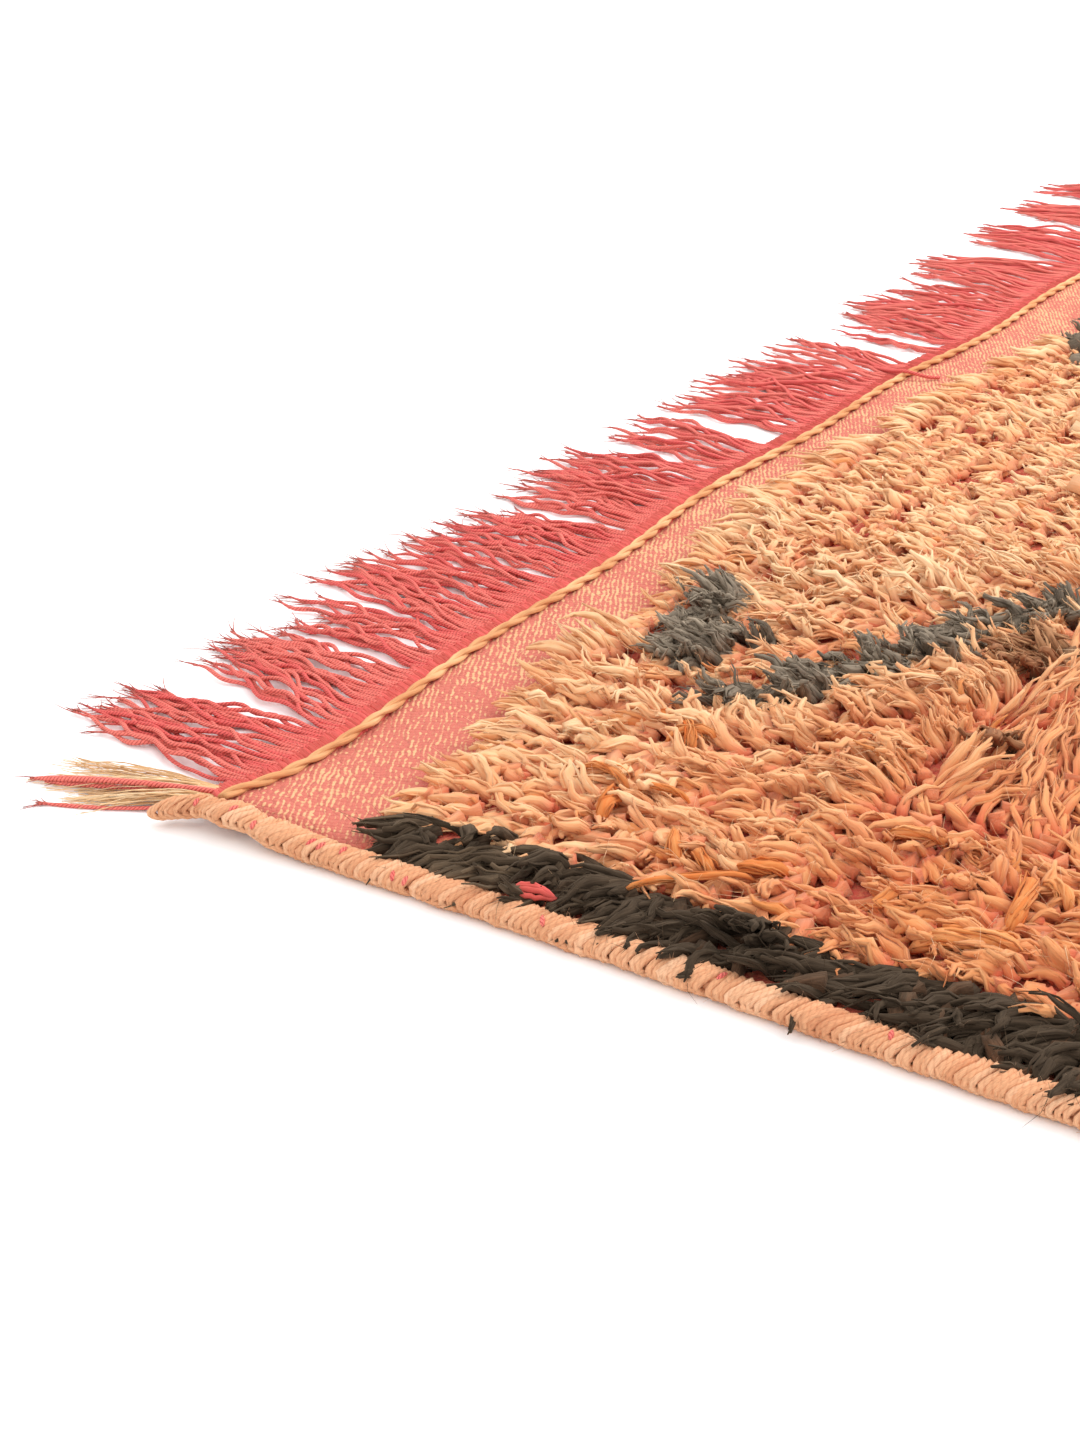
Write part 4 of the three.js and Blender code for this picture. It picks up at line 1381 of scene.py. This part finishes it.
def from_corner(corner_x, way, side, across, reach, height):
    """Lines from the end of the ground outwards, at distances across from a corner."""
    start = strip_root_y(np.full(reach.shape, corner_x + 8 * way)) - 6
    y = start + shares(THREAD_STATIONS) * (reach + 6)
    return joined((corner_x + way * across) * side, y * side, height)


def corner_threads(number, random, count, *corner):
    """Loose ends of warp: fine beige threads in two fans."""
    t = shares(THREAD_STATIONS)

    def between(low, high):
        return mix(low, high, random.random((count, 1)))

    fan = np.where(random.random((count, 1)) < 0.6, 0, 1)
    root = mix(between(10, 13), between(1, 6), fan)
    tip = mix(between(-14, 12), between(-22, -8), fan)
    reach = mix(66, 46, fan) * random.uniform(0.62, 1.0, fan.shape)
    wander = random.uniform(0, 6.3, (count, 2))
    across = mix(root, tip, t**1.2) + 1.8 * np.sin(6 * t + wander[:, :1]) * t
    across = across + 0.9 * np.sin(17 * t + wander[:, 1:]) * t
    height = 0.5 + 4.0 * random.random((count, 1)) * np.sin(np.pi * np.clip(t * 1.1, 0, 1)) + 1.6 * (1 - t)
    lines = from_corner(*corner, across, reach, height)
    tubes = Tubes()
    tubes.add(lines, 0.3 * mix(1.0, 0.5, t), 3, 610 + number, tone=random.uniform(0.1, 0.95, count))
    tubes.finish(f"corner_threads_{number}", beige_thread, "beige_thread", f"corner_tassel_{number}")


def corner_reds(number, random, *corner):
    """A few red yarns among the threads of a corner."""
    t = shares(THREAD_STATIONS)
    thick, root, tip, reach, hump = (np.array(values)[:, None] for values in CORNER_REDS.values())
    across = mix(root, tip, t) + 1.2 * np.sin(5 * t + root) * t
    height = thick + hump * np.sin(np.pi * np.clip(t * 0.9 + 0.1, 0, 1))
    lines = from_corner(*corner, across, reach, height)
    radius = thick * yarn_radius(len(lines), THREAD_STATIONS, random, 1.0)
    tubes = Tubes()
    tubes.add(lines, radius, 6, 620 + number, tone=random.uniform(0.4, 0.8, len(lines)))
    tip_wisps(tubes, lines, 630 + number, 6)
    tubes.finish(f"corner_reds_{number}", red_yarn, "red_fringe", f"corner_tassel_{number}")


def corner_bundles():
    """The bundles at the four corners, with more threads at the one before the camera."""
    left = left_x(LENGTH / 2)
    right = right_x(LENGTH / 2)
    corners = ((left, 1, 1, 110), (right, -1, 1, 30), (left, 1, -1, 30), (right, -1, -1, 30))
    for number, (corner_x, way, side, threads) in enumerate(corners, 1):
        random = np.random.default_rng(600 + number)
        corner_threads(number, random, threads, corner_x, way, side)
        corner_reds(number, random, corner_x, way, side)


# Edge cords.


def selvage_axis(inset):
    """The middle of the left edge cord, its half width and its half height, at distances inside the end."""
    y = LENGTH / 2 - inset
    front_y = weave_end_y(np.array(-WIDTH / 2.0))
    back_y = -weave_end_y(np.array(WIDTH / 2.0))
    over = np.maximum(y - front_y, back_y - y)
    tail = np.clip(over, 0, TAIL_AT[-1])
    slim = np.interp(tail, TAIL_AT, TAIL_SLIM) * mix(0.9, 1.0, smooth(inset, 4, 50))
    edge = left_x(np.clip(y, back_y, front_y))
    half_width = SELVAGE_WIDTH / 2 * slim
    half_height = SELVAGE_HEIGHT / 2 * slim
    x = edge - GAP - half_width - np.interp(tail, TAIL_AT, TAIL_OUT)
    return x, y, half_width, half_height


def selvage_start():
    return float(cord_inset(0)) - WEAVE_SHOWING - TAIL_AT[-1]


def wraps(random):
    """The wraps of the edge cord before the camera, each a slanted ring of yarn, round a core."""
    inset = np.arange(selvage_start() + 1.5, WRAPS_TO, WRAP_PITCH)[:, None]
    inset = inset + random.normal(0, 0.25, inset.shape)
    x, y, half_width, half_height = selvage_axis(inset)
    turn = mix(-0.5 * np.pi, 1.5 * np.pi, shares(WRAP_STATIONS))
    slant = 2.2 + 1.4 * drift(inset, 0, 26, 702) + random.normal(0, 0.4, inset.shape)
    uneven = mix(0.15, 0.06, smooth(inset, 10, 60))
    lumpy = 1 + uneven * drift(inset, 0, 12, 703) + random.normal(0, 0.02, inset.shape)
    thick = 1.4 * near_one(random, 0.12, 0.7, 1.4, inset.shape) * mix(0.7, 1.0, smooth(inset, 0, 45))
    wide = (half_width - thick * 0.7) * lumpy
    tall = (half_height - thick * 0.7) * lumpy
    bow = 1.5 + 0.8 * drift(inset, 0, 50, 705)
    along = y - slant * np.cos(turn) + bow * np.cos(2 * turn) * 0.6
    lines = joined(x + wide * np.cos(turn), along, half_height + tall * np.sin(turn))
    tone = 0.55 + 0.25 * drift(inset, 0, 40, 704) + random.normal(0, 0.18, inset.shape)
    tubes = Tubes()
    tubes.add(lines, thick, 5, 705, tone=tone, lump=0.16)
    fuzz(tubes, lines, 709, 2, 4, 0.8, 4)
    x, y, half_width, half_height = selvage_axis(np.linspace(selvage_start() + 1, WRAPS_TO + 2, 90))
    tubes.add(joined(x, y, half_height)[None], half_height * 0.85, 8, 706, tone=0.3)
    tubes.finish("edge_wraps_left_front", wrap_yarn, "edge_cord", "selvage_left")


def red_stitches(random):
    """Small red stitches over some of the wraps."""
    x, y, half_width, half_height = selvage_axis(STITCHES_AT[:, None])
    stations = len(STITCH_RADII)
    arc = mix(-0.35, 0.35, shares(stations)) + np.radians(random.uniform(95, 145, x.shape))
    along = y + random.uniform(-2.5, 2.5, x.shape) * mix(-0.5, 0.5, shares(stations))
    out = x + (half_width + 0.1) * np.cos(arc)
    up = half_height + (half_height + 0.1) * np.sin(arc)
    tubes = Tubes()
    tubes.add(joined(out, along, up), STITCH_RADII, 6, 708, tone=0.6)
    tubes.finish("red_stitches", red_yarn, "red_fringe", "selvage_left")


def red_knot(random):
    """A knot of red yarn on the edge cord, five strands side by side."""
    knot = smooth_line(RED_KNOT, RED_KNOT_STATIONS)
    bow = np.sin(mix(0, np.pi, shares(RED_KNOT_STATIONS)[0]))
    thick = 0.95 * mix(0.4, 1.0, bow**0.6)
    tubes = Tubes()
    for beside in (-1, -0.5, 0, 0.5, 1):
        line = knot + [3.2 * beside, 0.9 * beside, -1.6 * beside**2] * bow[:, None]
        line = line + random.normal(0, 0.15, line.shape)
        tubes.add(line[None], thick, 6, 712, tone=0.6 + 0.3 * beside, along=1.0, lump=0.12)
    tubes.finish("red_knot", red_felt, "red_fringe", "selvage_left")


def plain_selvage(name, inset_from, inset_to, side, node):
    """An edge cord away from the camera: a lumpy tube whose wraps are in its material."""
    inset = np.linspace(inset_from, inset_to, int((inset_to - inset_from) / 3.5))[:, None]
    x, y, half_width, half_height = selvage_axis(inset)
    angle = 2 * np.pi * np.arange(10) / 10
    lumpy = 1 + 0.06 * drift(inset, 0, 16, 711)
    out = x + half_width * lumpy * np.cos(angle)
    along = y + 1.6 * np.cos(angle)
    ring = joined(out * side, along * side, half_height * (1 + np.sin(angle) * lumpy * 0.98))
    number = np.arange(out.size).reshape(out.shape)
    after = np.roll(number, -1, axis=1)
    quads = np.stack([number[:-1], number[1:], after[1:], after[:-1]], axis=-1).reshape(-1, 4)
    ends = np.stack([number[0], number[-1, ::-1]])
    values = {"fibre": joined(np.cos(angle) * 4, np.sin(angle) * 4, along).reshape(-1, 3)}
    made = write_mesh(name, ring.reshape(-1, 3), [quads, ends], values, None, wrapped_edge)
    place(made, "edge_cord", node)


def edge_cords():
    random = np.random.default_rng(701)
    wraps(random)
    red_stitches(random)
    red_knot(random)
    end = LENGTH - float(cord_inset(WIDTH)) + WEAVE_SHOWING + TAIL_AT[-1]
    plain_selvage("edge_left_rest", WRAPS_TO - 2, end, 1, "selvage_left")
    plain_selvage("edge_right", selvage_start(), end, -1, "selvage_right")


# The room.


def camera():
    data = bpy.data.cameras.new("camera")
    data.lens = CAMERA_LENS
    data.sensor_width = CAMERA_SENSOR
    data.clip_start = 0.01
    made = new_object("camera", data)
    level = np.cos(CAMERA_PITCH)
    ahead = Vector((CAMERA_HEADING[0] * level, CAMERA_HEADING[1] * level, -np.sin(CAMERA_PITCH)))
    made.location = Vector(CAMERA_AT) * MM
    made.rotation_mode = "QUATERNION"
    made.rotation_quaternion = ahead.to_track_quat("-Z", "Y")
    bpy.context.scene.camera = made


def floor():
    mesh = bpy.data.meshes.new("floor")
    corners = [(FLOOR_REACH * x, FLOOR_REACH * y, 0) for x, y in ((-1, -1), (1, -1), (1, 1), (-1, 1))]
    mesh.from_pydata(corners, [], [(0, 1, 2, 3)])
    material, tree = new_material("white floor")
    inputs = {"Base Color": (0.97, 0.97, 0.97, 1), "Roughness": 0.9, "Specular IOR Level": 0.1}
    set_inputs(tree, tree.nodes["Principled BSDF"], inputs)
    mesh.materials.append(material)
    made = new_object("floor", mesh)


def area_light(name, position, aim, size, power):
    data = bpy.data.lights.new(name, "AREA")
    data.shape = "SQUARE"
    data.size = size
    data.energy = power
    made = new_object(name, data)
    made.location = position
    made.rotation_mode = "QUATERNION"
    made.rotation_quaternion = (Vector(aim) - Vector(position)).to_track_quat("-Z", "Y")


def lights():
    world = bpy.data.worlds.new("studio")
    world.use_nodes = True
    tree = world.node_tree
    set_inputs(tree, tree.nodes["Background"], {"Color": (1, 1, 1, 1), "Strength": WORLD_STRENGTH})
    bpy.context.scene.world = world
    area_light("key", **KEY_LIGHT)
    bpy.context.scene.view_settings.view_transform = "Standard"


camera()
floor()
lights()
ground = ground_sheet()
near_pile()
felted_locks()
far_pile()
twined_cord("cord_front", "twined_cord_front", 1, 1.6, 7)
twined_cord("cord_back", "twined_cord_back", -1, 3.2, 5)
fringe_front()
fringe_back()
corner_bundles()
edge_cords()
